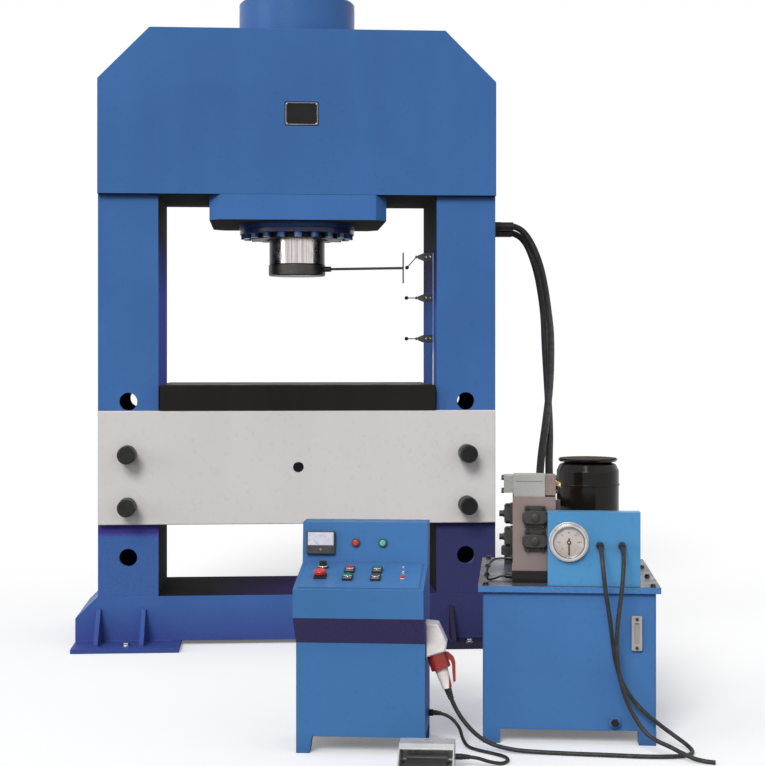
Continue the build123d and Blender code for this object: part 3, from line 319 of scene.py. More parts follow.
def moulded(name, colour, gloss, grain=900, depth=0.00012, dust=0.25, parts=()):
    """Moulded plastic with fine grain, dull patches and soft edges."""
    finish = Finish(name)
    base = finish.mottled(finish.noise(24, 4), colour, 0.86, 1.14)
    dusty = finish.times(finish.between(finish.noise(90, 6), 0.5, 0.75), dust)
    base = finish.mix(dusty, base, shade(colour, 0.7, 0.06))
    finish.set(Normal=finish.bump(finish.cells(grain), depth, 0.5, finish.rounded(0.001)))
    return completed(finish, base, finish.roughness(40, 5, gloss, 0.06), parts)


def cast(name, colour, metallic, gloss=0.45, depth=0.0004, parts=()):
    """Cast or painted aluminium with a pebbled skin, darker pits and painted shade in crevices."""
    finish = Finish(name)
    pits = finish.noise(210, 5)
    base = finish.mottled(finish.noise(7, 5), colour, 0.85, 1.1)
    base = finish.mix(finish.between(pits, 0.55, 0.8, 0, 0.4), base, shade(colour, 0.55))
    # Painted shade: crevices darkened
    base = finish.mix(finish.times(finish.crevice(0.02), 0.6), base, shade(colour, 0.3))
    finish.set(Normal=finish.bump(pits, depth, 0.5, finish.rounded(0.0018)), Metallic=metallic)
    return completed(finish, base, finish.roughness(33, 4, gloss, 0.08), parts)


def rubber(name, colour, dusty, shine):
    """Cable jacket or hose cover: dull, faintly ribbed, with dust in its grain."""
    finish = Finish(name)
    dust = finish.between(finish.noise(55, 6, distortion=0.5), 0.48, 0.72)
    finish.set(
        Base_Color=finish.mix(dust, colour, dusty),
        Roughness=finish.roughness(30, 4, 0.5, 0.08),
        Normal=finish.bump(finish.noise(600, 3), 0.0003, 0.6),
        Specular_IOR_Level=shine,
    )
    return finish.material


def beyond(plane, distance, axis=Z):
    """Mask of what lies more than a distance along an axis of a plane."""
    return lambda finish: finish.math("GREATER_THAN", finish.along(plane, axis), distance)


def short_of(plane, distance, axis=Z):
    """Mask of what lies less than a distance along an axis of a plane."""
    return lambda finish: finish.math("LESS_THAN", finish.along(plane, axis), distance)


def rising(plane, low, high, axis=Z):
    """Mask that rises from 0 to 1 between two distances along an axis of a plane."""
    return lambda finish: finish.between(finish.along(plane, axis), low, high)


def both(first, second):
    """Mask of what two masks share."""
    return lambda finish: finish.times(first(finish), second(finish))


def within(point, radius):
    """Mask of what lies nearer to a point than a radius."""

    def make(finish):
        node = finish.add("ShaderNodeVectorMath", operation="DISTANCE")
        finish.put(node.inputs[0], finish.coordinates)
        node.inputs[1].default_value = point
        return finish.math("LESS_THAN", node.outputs["Value"], radius)

    return make


# Colours, as linear light
PRESS_BLUE = (0.052, 0.150, 0.385)
TANK_BLUE = (0.060, 0.178, 0.425)
BOX_BLUE = (0.084, 0.290, 0.555)
CONSOLE_BLUE = (0.056, 0.172, 0.390)
BED_GREY = (0.690, 0.660, 0.650)
# Painted shade and light in the press's opening: its inner walls, the crown's underside and the beam's top
OPENING_SHADOW_BLACK = (0.005, 0.005, 0.005)
LEFT_WALL_SHADE_BLUE = (0.062, 0.130, 0.700)
RIGHT_WALL_SHADE_BLUE = (0.042, 0.118, 0.410)
WALL_SHADE_VIOLET = (0.042, 0.036, 0.160)
OPENING_SHADE_VIOLET = (0.046, 0.024, 0.135)
# Painted shade: darker, more violet copies of the press blue for the beam, the feet and the lower front
# faces, darker still near the floor
BASE_SHADED_BLUE = (0.056, 0.132, 0.376)
BASE_LOW_SHADE_BLUE = (0.050, 0.081, 0.297)
FOOT_SHADED_BLUE = (0.056, 0.122, 0.348)
SHADED_BLUE = (0.038, 0.040, 0.129)
FOOT_SHADE = (0.024, 0.021, 0.046)
BED_SHADE = (0.062, 0.044, 0.270)
# Painted shade: the gland flange as a darker, more violet copy of the press blue
GLAND_SHADE_BLUE = (0.060, 0.074, 0.230)
CONSOLE_SHADE = (0.028, 0.084, 0.347)
# Painted shade on the console's downward-facing slope
SLOPE_SHADE_VIOLET = (0.088, 0.072, 0.195)
DULL_BLACK = (0.018, 0.017, 0.016)
SOFT_BLACK = (0.030, 0.028, 0.026)
BEIGE = (0.256, 0.194, 0.180)
VALVE_GREY = (0.400, 0.400, 0.370)
CHARCOAL = (0.019, 0.017, 0.014)
ZINC = (0.620, 0.610, 0.600)
CHROME = (0.820, 0.800, 0.790)
SIGNAL_RED = (0.560, 0.022, 0.018)
PLUG_RED = (0.300, 0.024, 0.018)
SIGNAL_GREEN = (0.010, 0.190, 0.085)
MINT = (0.080, 0.520, 0.300)
OFF_WHITE = (0.700, 0.660, 0.645)
PEDAL_SILVER = (0.640, 0.640, 0.635)
# Painted reflection: dark bands at the ram's sides
RAM_EDGE_REFLECTION = (0.030, 0.027, 0.027)
BLOCK_SHADE = (0.044, 0.036, 0.032)
GLAND_SHADE = (0.020, 0.018, 0.030)
COWL_BROWN = (0.060, 0.042, 0.034)
MOTOR_BLACK = (0.009, 0.007, 0.006)
LID_GREY = (0.075, 0.085, 0.105)
TREAD_DARK = (0.070, 0.068, 0.068)
WIRE_BLUE = (0.130, 0.220, 0.420)
# Painted reflection on the lower part of the gauge dial
DIAL_REFLECTION_BROWN = (0.480, 0.400, 0.345)
# Violet painted shade for the corners and recesses of enamel
CREVICE_SHADE = (0.036, 0.030, 0.066)

# Plug: where its line would meet the console's side, and how far out of that it starts
PLUG_ROOT = (0.220, 0.060, 0.326)
PLUG_OUT = 0.034
PLUG_LEAN = math.radians(18)
PLUG_LENGTH = 0.125
PLUG_START = CONSOLE @ (Vector(PLUG_ROOT) + PLUG_OUT * Vector((1, 0, math.tan(PLUG_LEAN))))
PLUG_ALONG = (CONSOLE.to_3x3() @ Vector((math.sin(PLUG_LEAN), 0, -math.cos(PLUG_LEAN)))).normalized()
PLUG_END = PLUG_START + PLUG_LENGTH * PLUG_ALONG
PLUG = plane_along(PLUG_START, PLUG_ALONG)

GAUGE = facing(PACK, -0.001, 0, 0.704)

# Masks for what one node holds in another finish, and for painted shade and light on its faces; a face is
# picked out by a place just past it
OPENING_HALF = 0.6515
OPENING_FLOOR = 0.2288
BETWEEN_WALLS = both(beyond(PRESS, -OPENING_HALF, X), short_of(PRESS, OPENING_HALF, X))
OPENING_WALLS = both(beyond(PRESS, OPENING_FLOOR), BETWEEN_WALLS)
LEFT_WALL = both(OPENING_WALLS, short_of(PRESS, 0, X))
WALL_SHADE_BAND = both(OPENING_WALLS, rising(PRESS, 1.55, 1.67))
UPPER_WALLS = both(OPENING_WALLS, rising(PRESS, 1.62, 1.93))
LOWER_WALLS = both(OPENING_WALLS, short_of(PRESS, 0.9))
BEAM_TOP_RIGHT = both(OPENING_WALLS, rising(PRESS, -0.42, 0.10, X))
# Painted shade: darker towards the floor
NEAR_FLOOR = rising(PRESS, 0.20, 0.03)
FRONT_FACES = short_of(PRESS, -0.317, Y)
SHADED_FRONT = both(FRONT_FACES, both(short_of(PRESS, 0.93), rising(PRESS, 0.35, 0.62, X)))
BELOW_BED = both(FRONT_FACES, short_of(PRESS, 0.70))
BED_SHADOW = both(BELOW_BED, rising(PRESS, 0.504, 0.524))
CROWN_UNDERSIDE = short_of(PRESS, 2.1012)
BLOCK_UNDERSIDE = short_of(PRESS, 1.9828)
GLAND_UNDERSIDE = short_of(PRESS, 1.9355)
RAM_RIGHT = rising(PRESS, 0.103, 0.120, X)
RAM_LEFT = rising(PRESS, -0.103, -0.120, X)
WIRE_TOP = rising(PRESS, 1.34, 1.42)
DRAIN_PLUG = short_of(PACK, -0.0185, Y)
LID_SIDES = short_of(PACK, 0.5485)
CABLE_GROMMETS = short_of(PACK, -0.001, Y)
HOSE_PORTS = beyond(PACK, 0.2755, Y)
VALVE_LEFT_END = short_of(PACK, -0.192, X)
VALVE_LEFT_SCREWS = short_of(PACK, -0.2275, X)
VALVE_RIGHT_END = beyond(PACK, -0.082, X)
VALVE_RIGHT_SCREWS = beyond(PACK, -0.0435, X)
LEVEL_TUBE = short_of(PACK, -0.0122, Y)
COWL_TOP = beyond(PACK, 0.9645)
DIAL_FOOT = rising(PACK, 0.704, 0.664)
KNEE_SLOPE = both(short_of(CONSOLE, -0.0006, Y), short_of(CONSOLE, 0.4735))
CONSOLE_RIGHT = beyond(CONSOLE, 0.219, X)
CONSOLE_BOSS = beyond(CONSOLE, 0.2205, X)
DESK_FITTINGS = beyond(DESK, 0.0034)
RIGHT_LAMP = beyond(CONSOLE, 0.015, X)
LAMP_BEZELS = short_of(RISER, 0.0061)
PLUG_COLLAR = short_of(PLUG, 0.0552)
PLUG_HOOK = beyond(CONSOLE, 0.2985, X)
PEDAL_BOSS = beyond(PEDAL, 0.0905, X)
PEDAL_LIP = short_of(PEDAL, -0.092, Y)

finishes = {
    "press_blue": painted("press_paint", PRESS_BLUE, shine=0.09, parts=(
        # Painted shade and light: the opening's inner walls, the lower front faces and the bed's shadow on
        # them
        (OPENING_WALLS, RIGHT_WALL_SHADE_BLUE, 0.8),
        (WALL_SHADE_BAND, WALL_SHADE_VIOLET, 0.8),
        (LEFT_WALL, LEFT_WALL_SHADE_BLUE, 0.8),
        (UPPER_WALLS, OPENING_SHADOW_BLACK, 0.9),
        (LOWER_WALLS, OPENING_SHADOW_BLACK, 0.9),
        (BELOW_BED, BASE_SHADED_BLUE, 0.5),
        (BED_SHADOW, BED_SHADE, 0.6),
        (SHADED_FRONT, SHADED_BLUE, 0.6),
    )),
    "cylinder_blue": painted("cylinder_paint", shade(PRESS_BLUE, 0.95), gloss=0.3),
    "bed_grey": painted("bed_paint", BED_GREY, gloss=0.42, mottle=0.035, wear_and_glint=0.15, crevice_shade=0.35, peel=0.4),
    "table_black": painted(
        "table_paint", shade(DULL_BLACK, 0.85), gloss=0.45, mottle=0.25, wear_and_glint=0.25, crevice_shade=0.2, shine=0.07
    ),
    "pin_black": steel("blacked_pin", (0.030, 0.029, 0.028), 0.42, lines=(60, 2, 60)),
    "nose_black": steel("oiled_black", (0.075, 0.068, 0.062), 0.36, lines=(2, 2, 60)),
    # Painted reflection: the strong vertical streaks are partly tool marks and partly reflected bands, and
    # both sides are dark reflections
    "ram_chrome": steel(
        "hard_chrome", (0.640, 0.590, 0.575), 0.2, lines=(26, 26, 0.5), depth=0.00001, stain=0.1,
        contrast=(0.55, 1.3), parts=((RAM_RIGHT, RAM_EDGE_REFLECTION, 0.3), (RAM_LEFT, RAM_EDGE_REFLECTION, 0.3)),
    ),
    "bolt_steel": steel("bolt_black", (0.060, 0.058, 0.055), 0.36),
    "switch_metal": cast("switch_body", (0.020, 0.020, 0.023), 0.1, gloss=0.4, depth=0.0002),
    "bright_steel": steel("bright_steel", ZINC, 0.28),
    "tank_blue": painted("tank_paint", TANK_BLUE, parts=((DRAIN_PLUG, DULL_BLACK, 0.4),)),
    "lid_grey": painted("lid_paint", LID_GREY, gloss=0.24, mottle=0.22, wear_and_glint=0.2, crevice_shade=0.3, parts=(
        # Painted light: the lid's edge in a lighter copy of the tank blue
        (LID_SIDES, shade(TANK_BLUE, 1.25), 0.34),
    )),
    "box_blue": painted("box_paint", BOX_BLUE, gloss=0.3, parts=((CABLE_GROMMETS, SOFT_BLACK, 0.5),)),
    "motor_black": painted(
        "motor_enamel", MOTOR_BLACK, gloss=0.14, mottle=0.3, wear_and_glint=0.12, crevice_shade=0.2, shine=0.2
    ),
    "manifold_beige": cast("manifold_beige", BEIGE, 0.0, parts=((HOSE_PORTS, ZINC, 0.3),)),
    "valve_grey": cast("valve_grey", VALVE_GREY, 0.0, parts=(
        (VALVE_LEFT_END, shade(VALVE_GREY, 0.82), 0.35),
        (VALVE_LEFT_SCREWS, DULL_BLACK, 0.4),
        (VALVE_RIGHT_END, BEIGE, 0.5),
        (VALVE_RIGHT_SCREWS, DULL_BLACK, 0.4),
    )),
    "coil_black": moulded("coil_case", CHARCOAL, 0.5, grain=700, depth=0.0003),
    "gauge_chrome": steel(
        "gauge_chrome", shade(CHROME, 0.72), 0.26, lines=(3, 3, 3), depth=0.000004, stain=0.2
    ),
    "pointer_black": moulded("pointer_black", (0.02, 0.02, 0.02), 0.5),
    "level_white": cast("level_plate", shade(OFF_WHITE, 0.58), 0.0, depth=0.0001, parts=(
        (LEVEL_TUBE, DULL_BLACK, 0.4),
    )),
    "console_blue": painted("console_paint", CONSOLE_BLUE, shine=0.07, parts=(
        # Painted shade on the console's right side and on its downward-facing slope
        (CONSOLE_RIGHT, CONSOLE_SHADE, 0.45),
        (KNEE_SLOPE, SLOPE_SHADE_VIOLET, 0.6),
        (CONSOLE_BOSS, DULL_BLACK, 0.5),
    )),
    "meter_white": moulded("meter_case", (0.020, 0.020, 0.021), 0.3),
    "red_plastic": moulded("red_plastic", SIGNAL_RED, 0.24),
    "green_plastic": moulded("green_plastic", SIGNAL_GREEN, 0.24),
    "white_plastic": moulded("white_plastic", OFF_WHITE, 0.34),
    "black_plastic": moulded("black_plastic", DULL_BLACK, 0.34),
    "pedal_silver": cast("pedal_silver", PEDAL_SILVER, 0.25, gloss=0.32, depth=0.00015, parts=(
        (PEDAL_BOSS, DULL_BLACK, 0.5),
    )),
    "cord_rubber": rubber("cord_rubber", (0.012, 0.012, 0.013), (0.042, 0.040, 0.037), 0.4),
}

own_finishes = {
    "crown_box": painted("crown_paint", PRESS_BLUE, shine=0.08, parts=(
        # Painted shadow under the crown
        (CROWN_UNDERSIDE, OPENING_SHADOW_BLACK, 0.95),
    )),
    "base_beam": painted("base_paint", BASE_SHADED_BLUE, shine=0.08, parts=(
        # Painted shade: darker near the floor and on the right front, black to violet on the beam's top in
        # the opening
        (NEAR_FLOOR, BASE_LOW_SHADE_BLUE, 0.5),
        (SHADED_FRONT, SHADED_BLUE, 0.6),
        (OPENING_WALLS, shade(OPENING_SHADOW_BLACK, 1.6), 0.9),
        (BEAM_TOP_RIGHT, OPENING_SHADE_VIOLET, 0.9),
    )),
    # Painted shade: the feet in a darker copy of the press blue, darker near the floor
    "left_foot": painted("left_foot_paint", FOOT_SHADED_BLUE, shine=0.08, parts=((NEAR_FLOOR, BASE_LOW_SHADE_BLUE, 0.5),)),
    "right_foot": painted("right_foot_paint", FOOT_SHADED_BLUE, shine=0.08, parts=(
        (NEAR_FLOOR, BASE_LOW_SHADE_BLUE, 0.5),
        (SHADED_FRONT, FOOT_SHADE, 0.6),
    )),
    "ram_block": painted("block_paint", shade(PRESS_BLUE, 1.08), shine=0.08, parts=(
        (BLOCK_UNDERSIDE, BLOCK_SHADE, 0.95),
    )),
    "control_panel": painted("panel_paint", shade(CONSOLE_BLUE, 1.04), radius=0.0012, parts=(
        (DESK_FITTINGS, SOFT_BLACK, 0.42),
    )),
    "pilot_lamps": moulded("lamp_lenses", SIGNAL_RED, 0.12, parts=(
        (RIGHT_LAMP, MINT, 0.12),
        (LAMP_BEZELS, DULL_BLACK, 0.35),
    )),
    "cable_plug": moulded("plug_shell", (0.980, 0.860, 0.830), 0.34, parts=(
        (PLUG_COLLAR, PLUG_RED, 0.3),
        (PLUG_HOOK, PLUG_RED, 0.3),
    )),
    "cable_socket": moulded("socket_shell", (0.860, 0.800, 0.785), 0.34),
    "breather_cap": painted("breather_black", (0.030, 0.029, 0.028), gloss=0.4, mottle=0.2, radius=0.001),
    "striker_arm": steel("striker_black", (0.050, 0.048, 0.046), 0.38),
    # Painted light: bolt heads in a lighter copy of the press blue
    "gland_bolts": painted(
        "bolt_paint", shade(PRESS_BLUE, 1.25), gloss=0.2, radius=0.0015, wear_and_glint=0.5, shine=0.4
    ),
    # Painted shade on the gland flange, darkest on its underside
    "gland_flange": painted("gland_paint", GLAND_SHADE_BLUE, gloss=0.22, crevice_shade=0.6, shine=0.3, parts=(
        (GLAND_UNDERSIDE, GLAND_SHADE, 0.6),
    )),
    "motor_cowl": painted("cowl_enamel", MOTOR_BLACK, gloss=0.12, mottle=0.3, crevice_shade=0.1, shine=0.22, parts=(
        (COWL_TOP, COWL_BROWN, 0.85),
    )),
    "button_pump_on": moulded("start_green", SIGNAL_GREEN, 0.2),
    "button_lower": moulded("lower_dark", (0.05, 0.05, 0.05), 0.25),
    "button_pump_off": moulded("stop_red", SIGNAL_RED, 0.2),
    "button_raise": moulded("raise_green", SIGNAL_GREEN, 0.2),
    "hose_bulkhead": steel("coupling_black", (0.026, 0.024, 0.023), 0.42),
    "pedal_plate": cast("pedal_tread", (0.560, 0.560, 0.560), 0.4, gloss=0.34, parts=(
        (PEDAL_LIP, TREAD_DARK, 0.3),
    )),
    "switch_wire": moulded("wire_white", (0.62, 0.60, 0.60), 0.4, parts=((WIRE_TOP, WIRE_BLUE, 0.4),)),
}

LEVER_ROLLER = 0.0102
LEVER_TIPS = {
    "upper": (0.5221, -0.1893, 1.7695),
    "middle": (0.5196, -0.1893, 1.624),
    "lower": (0.5196, -0.1893, 1.429),
}
for row, tip in LEVER_TIPS.items():
    own_finishes[f"switch_lever_{row}"] = steel(f"lever_{row}", (0.070, 0.068, 0.066), 0.3, parts=(
        (within(tip, LEVER_ROLLER), DULL_BLACK, 0.4),
    ))

for node_name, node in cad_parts.items():
    for holder in node.material_slots:
        slot_name = holder.material.name.split(".")[0]
        holder.material = own_finishes.get(node_name) or finishes[slot_name]


# Mesh tools: every piece is built where it belongs, so its object stays at the origin


def keep(name, data, slot, material):
    """Makes an object of a mesh or curve, gives it its own material or its slot's finish and lets it ride on
    the frame.
    """
    data.materials.append(material or finishes[slot])
    piece = bpy.data.objects.new(name, data)
    scene.collection.objects.link(piece)
    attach(piece, "frame")
    return piece


def keep_piece(name, bm, slot, material=None, sharp=32):
    """Keeps a bmesh as a piece, smooth but for its sharp edges, in a material of its own or its slot's."""
    bmesh.ops.recalc_face_normals(bm, faces=bm.faces)
    mesh = bpy.data.meshes.new(name)
    bm.to_mesh(mesh)
    bm.free()
    for polygon in mesh.polygons:
        polygon.use_smooth = True
    mesh.set_sharp_from_angle(angle=math.radians(sharp))
    return keep(name, mesh, slot, material)


def cover(bm, rings, closed=False):
    """Joins rings of vertices with faces; both ends are capped, or the last ring joins the first."""
    for lower, upper in zip(rings, rings[1:] + rings[:1] if closed else rings[1:]):
        for index in range(len(lower)):
            after = (index + 1) % len(lower)
            bm.faces.new((lower[index], lower[after], upper[after], upper[index]))
    if not closed:
        bm.faces.new(rings[0][::-1])
        bm.faces.new(rings[-1])


def add_ring(bm, plane, segments, radius, height=0.0, sides=0):
    """Adds the vertices of a round (sides 0) or many-sided ring over a plane."""
    ring = []
    for index in range(segments):
        angle = 2 * math.pi * index / segments
        out = radius
        if sides:
            step = 2 * math.pi / sides
            out = radius * math.cos(step / 2) / math.cos(angle % step - step / 2)
        ring.append(bm.verts.new(plane @ Vector((out * math.cos(angle), out * math.sin(angle), height))))
    return ring


def add_turned(bm, rows, plane, segments=24, closed=False):
    """Adds a form turned about a plane's normal; rows are (radius, height), and sides where they have any."""
    cover(bm, [add_ring(bm, plane, segments, *row) for row in rows], closed)


def turned(name, rows, planes, slot, material=None, segments=24, closed=False):
    """One piece of turned forms, one on each plane."""
    bm = bmesh.new()
    for plane in planes:
        add_turned(bm, rows, plane, segments, closed)
    return keep_piece(name, bm, slot, material)


def add_slab(bm, outline, low, high, plane, bevel=0.0):
    """Adds a plate of an outline between two heights over a plane, with its top edge bevelled."""
    loops = [(outline, low), (outline, high - bevel)]
    if bevel:
        centre = Vector((sum(p[0] for p in outline), sum(p[1] for p in outline))) / len(outline)
        inner = []
        for x, y in outline:
            inner.append((x - math.copysign(bevel, x - centre.x), y - math.copysign(bevel, y - centre.y)))
        loops.append((inner, high))
    cover(bm, [[bm.verts.new(plane @ Vector((x, y, height))) for x, y in loop] for loop, height in loops])


def rectangle(width, height, x=0.0, y=0.0, corner=0.0, steps=4):
    """Outline of a rectangle about (x, y), with round corners."""
    half_x = width / 2 - corner
    half_y = height / 2 - corner
    if not corner:
        return [(x + a * half_x, y + b * half_y) for a, b in ((-1, -1), (1, -1), (1, 1), (-1, 1))]
    outline = []
    for quarter, (a, b) in enumerate(((1, 1), (-1, 1), (-1, -1), (1, -1))):
        for step in range(steps + 1):
            angle = math.pi / 2 * (quarter + step / steps)
            across = a * half_x + corner * math.cos(angle)
            upward = b * half_y + corner * math.sin(angle)
            outline.append((x + across, y + upward))
    return outline


def corners(x, y):
    """Four places, mirrored both ways about the middle."""
    return [(a, b) for a in (-x, x) for b in (-y, y)]


def slab(name, outlines, low, high, plane, slot, material=None, bevel=0.0):
    """One piece of plates with the same two heights over a plane."""
    bm = bmesh.new()
    for outline in outlines:
        add_slab(bm, outline, low, high, plane, bevel)
    return keep_piece(name, bm, slot, material)


# Small fittings: screws, welds, dials and bare plates that the CAD model leaves out

plated = steel("zinc_plated", ZINC, 0.22)
chromed = steel("chromed_trim", CHROME, 0.12, lines=(30, 30, 30), depth=0.00002, stain=0.1)
brass = steel("brass", (0.560, 0.370, 0.130), 0.28)
blacked = steel("blacked_screw", (0.040, 0.038, 0.036), 0.34)
weld_paint = painted("weld_paint", shade(PRESS_BLUE, 0.9), radius=0.0004, wear_and_glint=0.1, crevice_shade=0.4)
# Painted shade: the foot welds darker near the floor and on the right front
foot_weld_paint = painted(
    "foot_weld_paint", BASE_LOW_SHADE_BLUE, radius=0.0004, wear_and_glint=0.1, crevice_shade=0.4, shine=0.08,
    parts=((SHADED_FRONT, SHADED_BLUE, 0.6),),
)
gland_black = steel("gland_collar", (0.020, 0.018, 0.020), 0.45)
hose_rubber = rubber("hose_rubber", (0.008, 0.007, 0.006), (0.020, 0.018, 0.016), 0.2)
coupling_black = steel("coupling_nut", (0.034, 0.032, 0.030), 0.4)
plate_black = painted("plate_black", (0.014, 0.013, 0.013), gloss=0.3, mottle=0.2, radius=0.0006, crevice_shade=0.2)
print_black = moulded("print_black", (0.020, 0.018, 0.018), 0.5)
# Painted reflection: the dial browner towards its lower part
dial_white = moulded("dial_white", (0.600, 0.545, 0.510), 0.45, dust=0.35, parts=(
    (DIAL_FOOT, DIAL_REFLECTION_BROWN, 0.45),
))
meter_white = moulded("meter_face", (0.620, 0.620, 0.700), 0.3)
label_grey = moulded("label_grey", (0.190, 0.185, 0.185), 0.35)
lamp_red = moulded("lamp_red", SIGNAL_RED, 0.12)


def cap_screw(radius, height, washer=1.35):
    """Rows of a socket-head screw on its washer."""
    rise = 0.22 * radius
    key = 0.55 * radius
    foot = [(washer * radius, 0), (washer * radius, rise)]
    head = [(radius, rise), (radius, height - rise / 2), (0.92 * radius, height)]
    return foot + head + [(key, height, 6), (key, height - radius / 2, 6)]


def add_bead(bm, start, end, radius):
    """Adds a weld bead along a straight seam, with a ripple every centimetre."""
    start = Vector(start)
    along = Vector(end) - start
    count = 3 * max(2, round(along.length / 0.010))
    rows = []
    for index in range(count + 1):
        wave = 1 + 0.14 * math.sin(2 * math.pi * index / 3) + 0.06 * math.sin(1.7 * index)
        rows.append((radius * wave, along.length * index / count))
    add_turned(bm, rows, plane_along(start, along), 6)


def mesh_of(curve):
    """Mesh of a curve or text."""
    holder = bpy.data.objects.new(curve.name, curve)
    scene.collection.objects.link(holder)
    mesh = bpy.data.meshes.new_from_object(holder)
    bpy.data.objects.remove(holder)
    return mesh


def add_digits(bm, text, size, x, y, plane, height):
    """Adds a number on a dial, as thin figures."""
    curve = bpy.data.curves.new("digits", "FONT")
    curve.body = text
    curve.size = size
    curve.align_x = "CENTER"
    curve.align_y = "CENTER"
    curve.resolution_u = 3
    curve.extrude = 0.0001
    mesh = mesh_of(curve)
    mesh.transform(shifted(plane, x, y, height))
    bm.from_mesh(mesh)
    bpy.data.meshes.remove(mesh)


def add_tick(bm, centre, angle, inner, outer, width, plane, low, high):
    """Adds a scale line that points away from a centre; angles run clockwise from straight down."""
    out = Vector((-math.sin(angle), -math.cos(angle)))
    across = Vector((out.y, -out.x)) * width / 2
    corners = [out * inner - across, out * outer - across, out * outer + across, out * inner + across]
    add_slab(bm, [(centre[0] + corner.x, centre[1] + corner.y) for corner in corners], low, high, plane)


def spline_curve(name, route, resolution):
    """A curve of one smooth spline, with a route's points as its control points."""
    curve = bpy.data.curves.new(name, "CURVE")
    curve.dimensions = "3D"
    curve.resolution_u = resolution
    spline = curve.splines.new("NURBS")
    spline.points.add(len(route) - 1)
    for point, place in zip(spline.points, route):
        point.co = (*place, 1)
    spline.order_u = 3
    spline.use_endpoint_u = True
    return curve


RELIEF_STEPS = 30
RELIEF_GROOVE = 0.86


def tapered_relief(name, route, start_radius, end_radius, length):
    """Ribbed rubber sleeve round the first stretch of a cord, along the cord's own spline."""
    guide = mesh_of(spline_curve("guide", route, 24))
    points = [vertex.co.copy() for vertex in guide.vertices]
    bpy.data.meshes.remove(guide)
    path = [(0.0, points[0])]
    for before, after in zip(points, points[1:]):
        path.append((path[-1][0] + (after - before).length, after))
    bm = bmesh.new()
    rings = []
    for step in range(RELIEF_STEPS + 1):
        share = step / RELIEF_STEPS
        distance = length * share
        index = max(1, next((i for i, (run, _) in enumerate(path) if run >= distance), len(path) - 1))
        (near, first), (far, second) = path[index - 1], path[index]
        centre = first.lerp(second, (distance - near) / max(far - near, 1e-9))
        radius = start_radius + (end_radius - start_radius) * share
        if step % 5 in (3, 4) and 2 < step < RELIEF_STEPS - 2:
            radius *= RELIEF_GROOVE
        rings.append(add_ring(bm, plane_along(centre, second - first), 20, radius))
    cover(bm, rings)
    return keep_piece(name, bm, "cord_rubber", sharp=50)


# Press frame
NAMEPLATE = facing(PRESS, 0.015, -0.352, 2.478)
slab("blank_plate", [rectangle(0.158, 0.112, corner=0.004)], 0, 0.0012, NAMEPLATE, "table_black", plate_black)
BORDER = [rectangle(0.148, 0.0016, y=y) for y in (0.0502, -0.0502)]
BORDER += [rectangle(0.0016, 0.102, x=x) for x in (0.0732, -0.0732)]
slab("blank_plate_border", BORDER, 0.001, 0.0014, NAMEPLATE, "bright_steel", plated)
RIVET = [(0.003, 0), (0.003, 0.0018), (0.0022, 0.0028), (0.0008, 0.0033)]
rivet_planes = [shifted(NAMEPLATE, x, y) for x, y in corners(0.0685, 0.0455)]
turned("blank_plate_rivets", RIVET, rivet_planes, "bright_steel", plated, 16)

FOOT_TOP = 0.020
ANCHOR_BOLT = [
    (0.022, 0), (0.022, 0.0036),
    (0.0185, 0.004, 6), (0.0185, 0.014, 6), (0.016, 0.0158, 6), (0.006, 0.0166),
]
anchor_planes = [shifted(PRESS, x, y, FOOT_TOP) for x, y in corners(0.790, 0.443)]
turned("anchor_bolts", ANCHOR_BOLT, anchor_planes, "bright_steel", plated)

UPRIGHT_FACE = 0.321
SEAM_ENDS = (0.590, 1.020)
GUSSET_PLACES = (0.822 - 0.1035, 0.822 + 0.1035)
GUSSET_HALF = 0.0105
GUSSET_TOP = 0.168
GUSSET_REACH = 0.468
GUSSET_BEAD = 0.0045
WALL_BEAD = 0.0055
welds = bmesh.new()
for side in (-1, 1):
    for end in (-1, 1):
        wall = end * UPRIGHT_FACE
        seam_start, seam_end = [(side * x, wall, 0.021) for x in SEAM_ENDS]
        add_bead(welds, seam_start, seam_end, WALL_BEAD)
        for gusset_x in GUSSET_PLACES:
            for face in (-GUSSET_HALF, GUSSET_HALF):
                x = side * gusset_x + face
                add_bead(welds, (x, wall, 0.024), (x, wall, GUSSET_TOP), GUSSET_BEAD)
                add_bead(welds, (x, wall, 0.0205), (x, end * GUSSET_REACH, 0.0205), GUSSET_BEAD)
keep_piece("foot_welds", welds, "press_blue", foot_weld_paint, 60)
BARREL_WELD = [(0.280, 2.872), (0.290, 2.872), (0.2885, 2.8785), (0.2845, 2.8825), (0.280, 2.884)]
turned("barrel_weld", BARREL_WELD, [PRESS], "press_blue", weld_paint, 96, True)
GLAND_COLLAR = [
    (0.152, 1.929), (0.223, 1.929), (0.223, 1.913), (0.220, 1.910),
    (0.155, 1.910), (0.152, 1.913),
]
turned("gland_collar", GLAND_COLLAR, [PRESS], "bolt_steel", gland_black, 96, True)

SWITCH_LEVELS = (1.820, 1.624, 1.429)
cover_outlines = [rectangle(0.040, 0.028, 0.627, height, 0.003) for height in SWITCH_LEVELS]
SWITCH_PLANE = facing(PRESS, 0, -0.2053, 0)
slab("switch_covers", cover_outlines, -0.0004, 0.0014, SWITCH_PLANE, "switch_metal", bevel=0.0005)
SCREW_X = (0.6125, 0.633)
cover_planes = [shifted(SWITCH_PLANE, x, height, 0.0013) for height in SWITCH_LEVELS for x in SCREW_X]
turned("switch_screws", cap_screw(0.0036, 0.003, 1.2), cover_planes, "bright_steel", plated, 18)
HOSE_NUT = [(0.018, 0), (0.0205, 0.001, 6), (0.0205, 0.033, 6), (0.0185, 0.035)]
nut_planes = [sideways(PRESS, 0.992, -0.230, 1.966), sideways(PRESS, 0.992, -0.180, 1.938)]
turned("hose_nuts", HOSE_NUT, nut_planes, "bolt_steel", coupling_black)

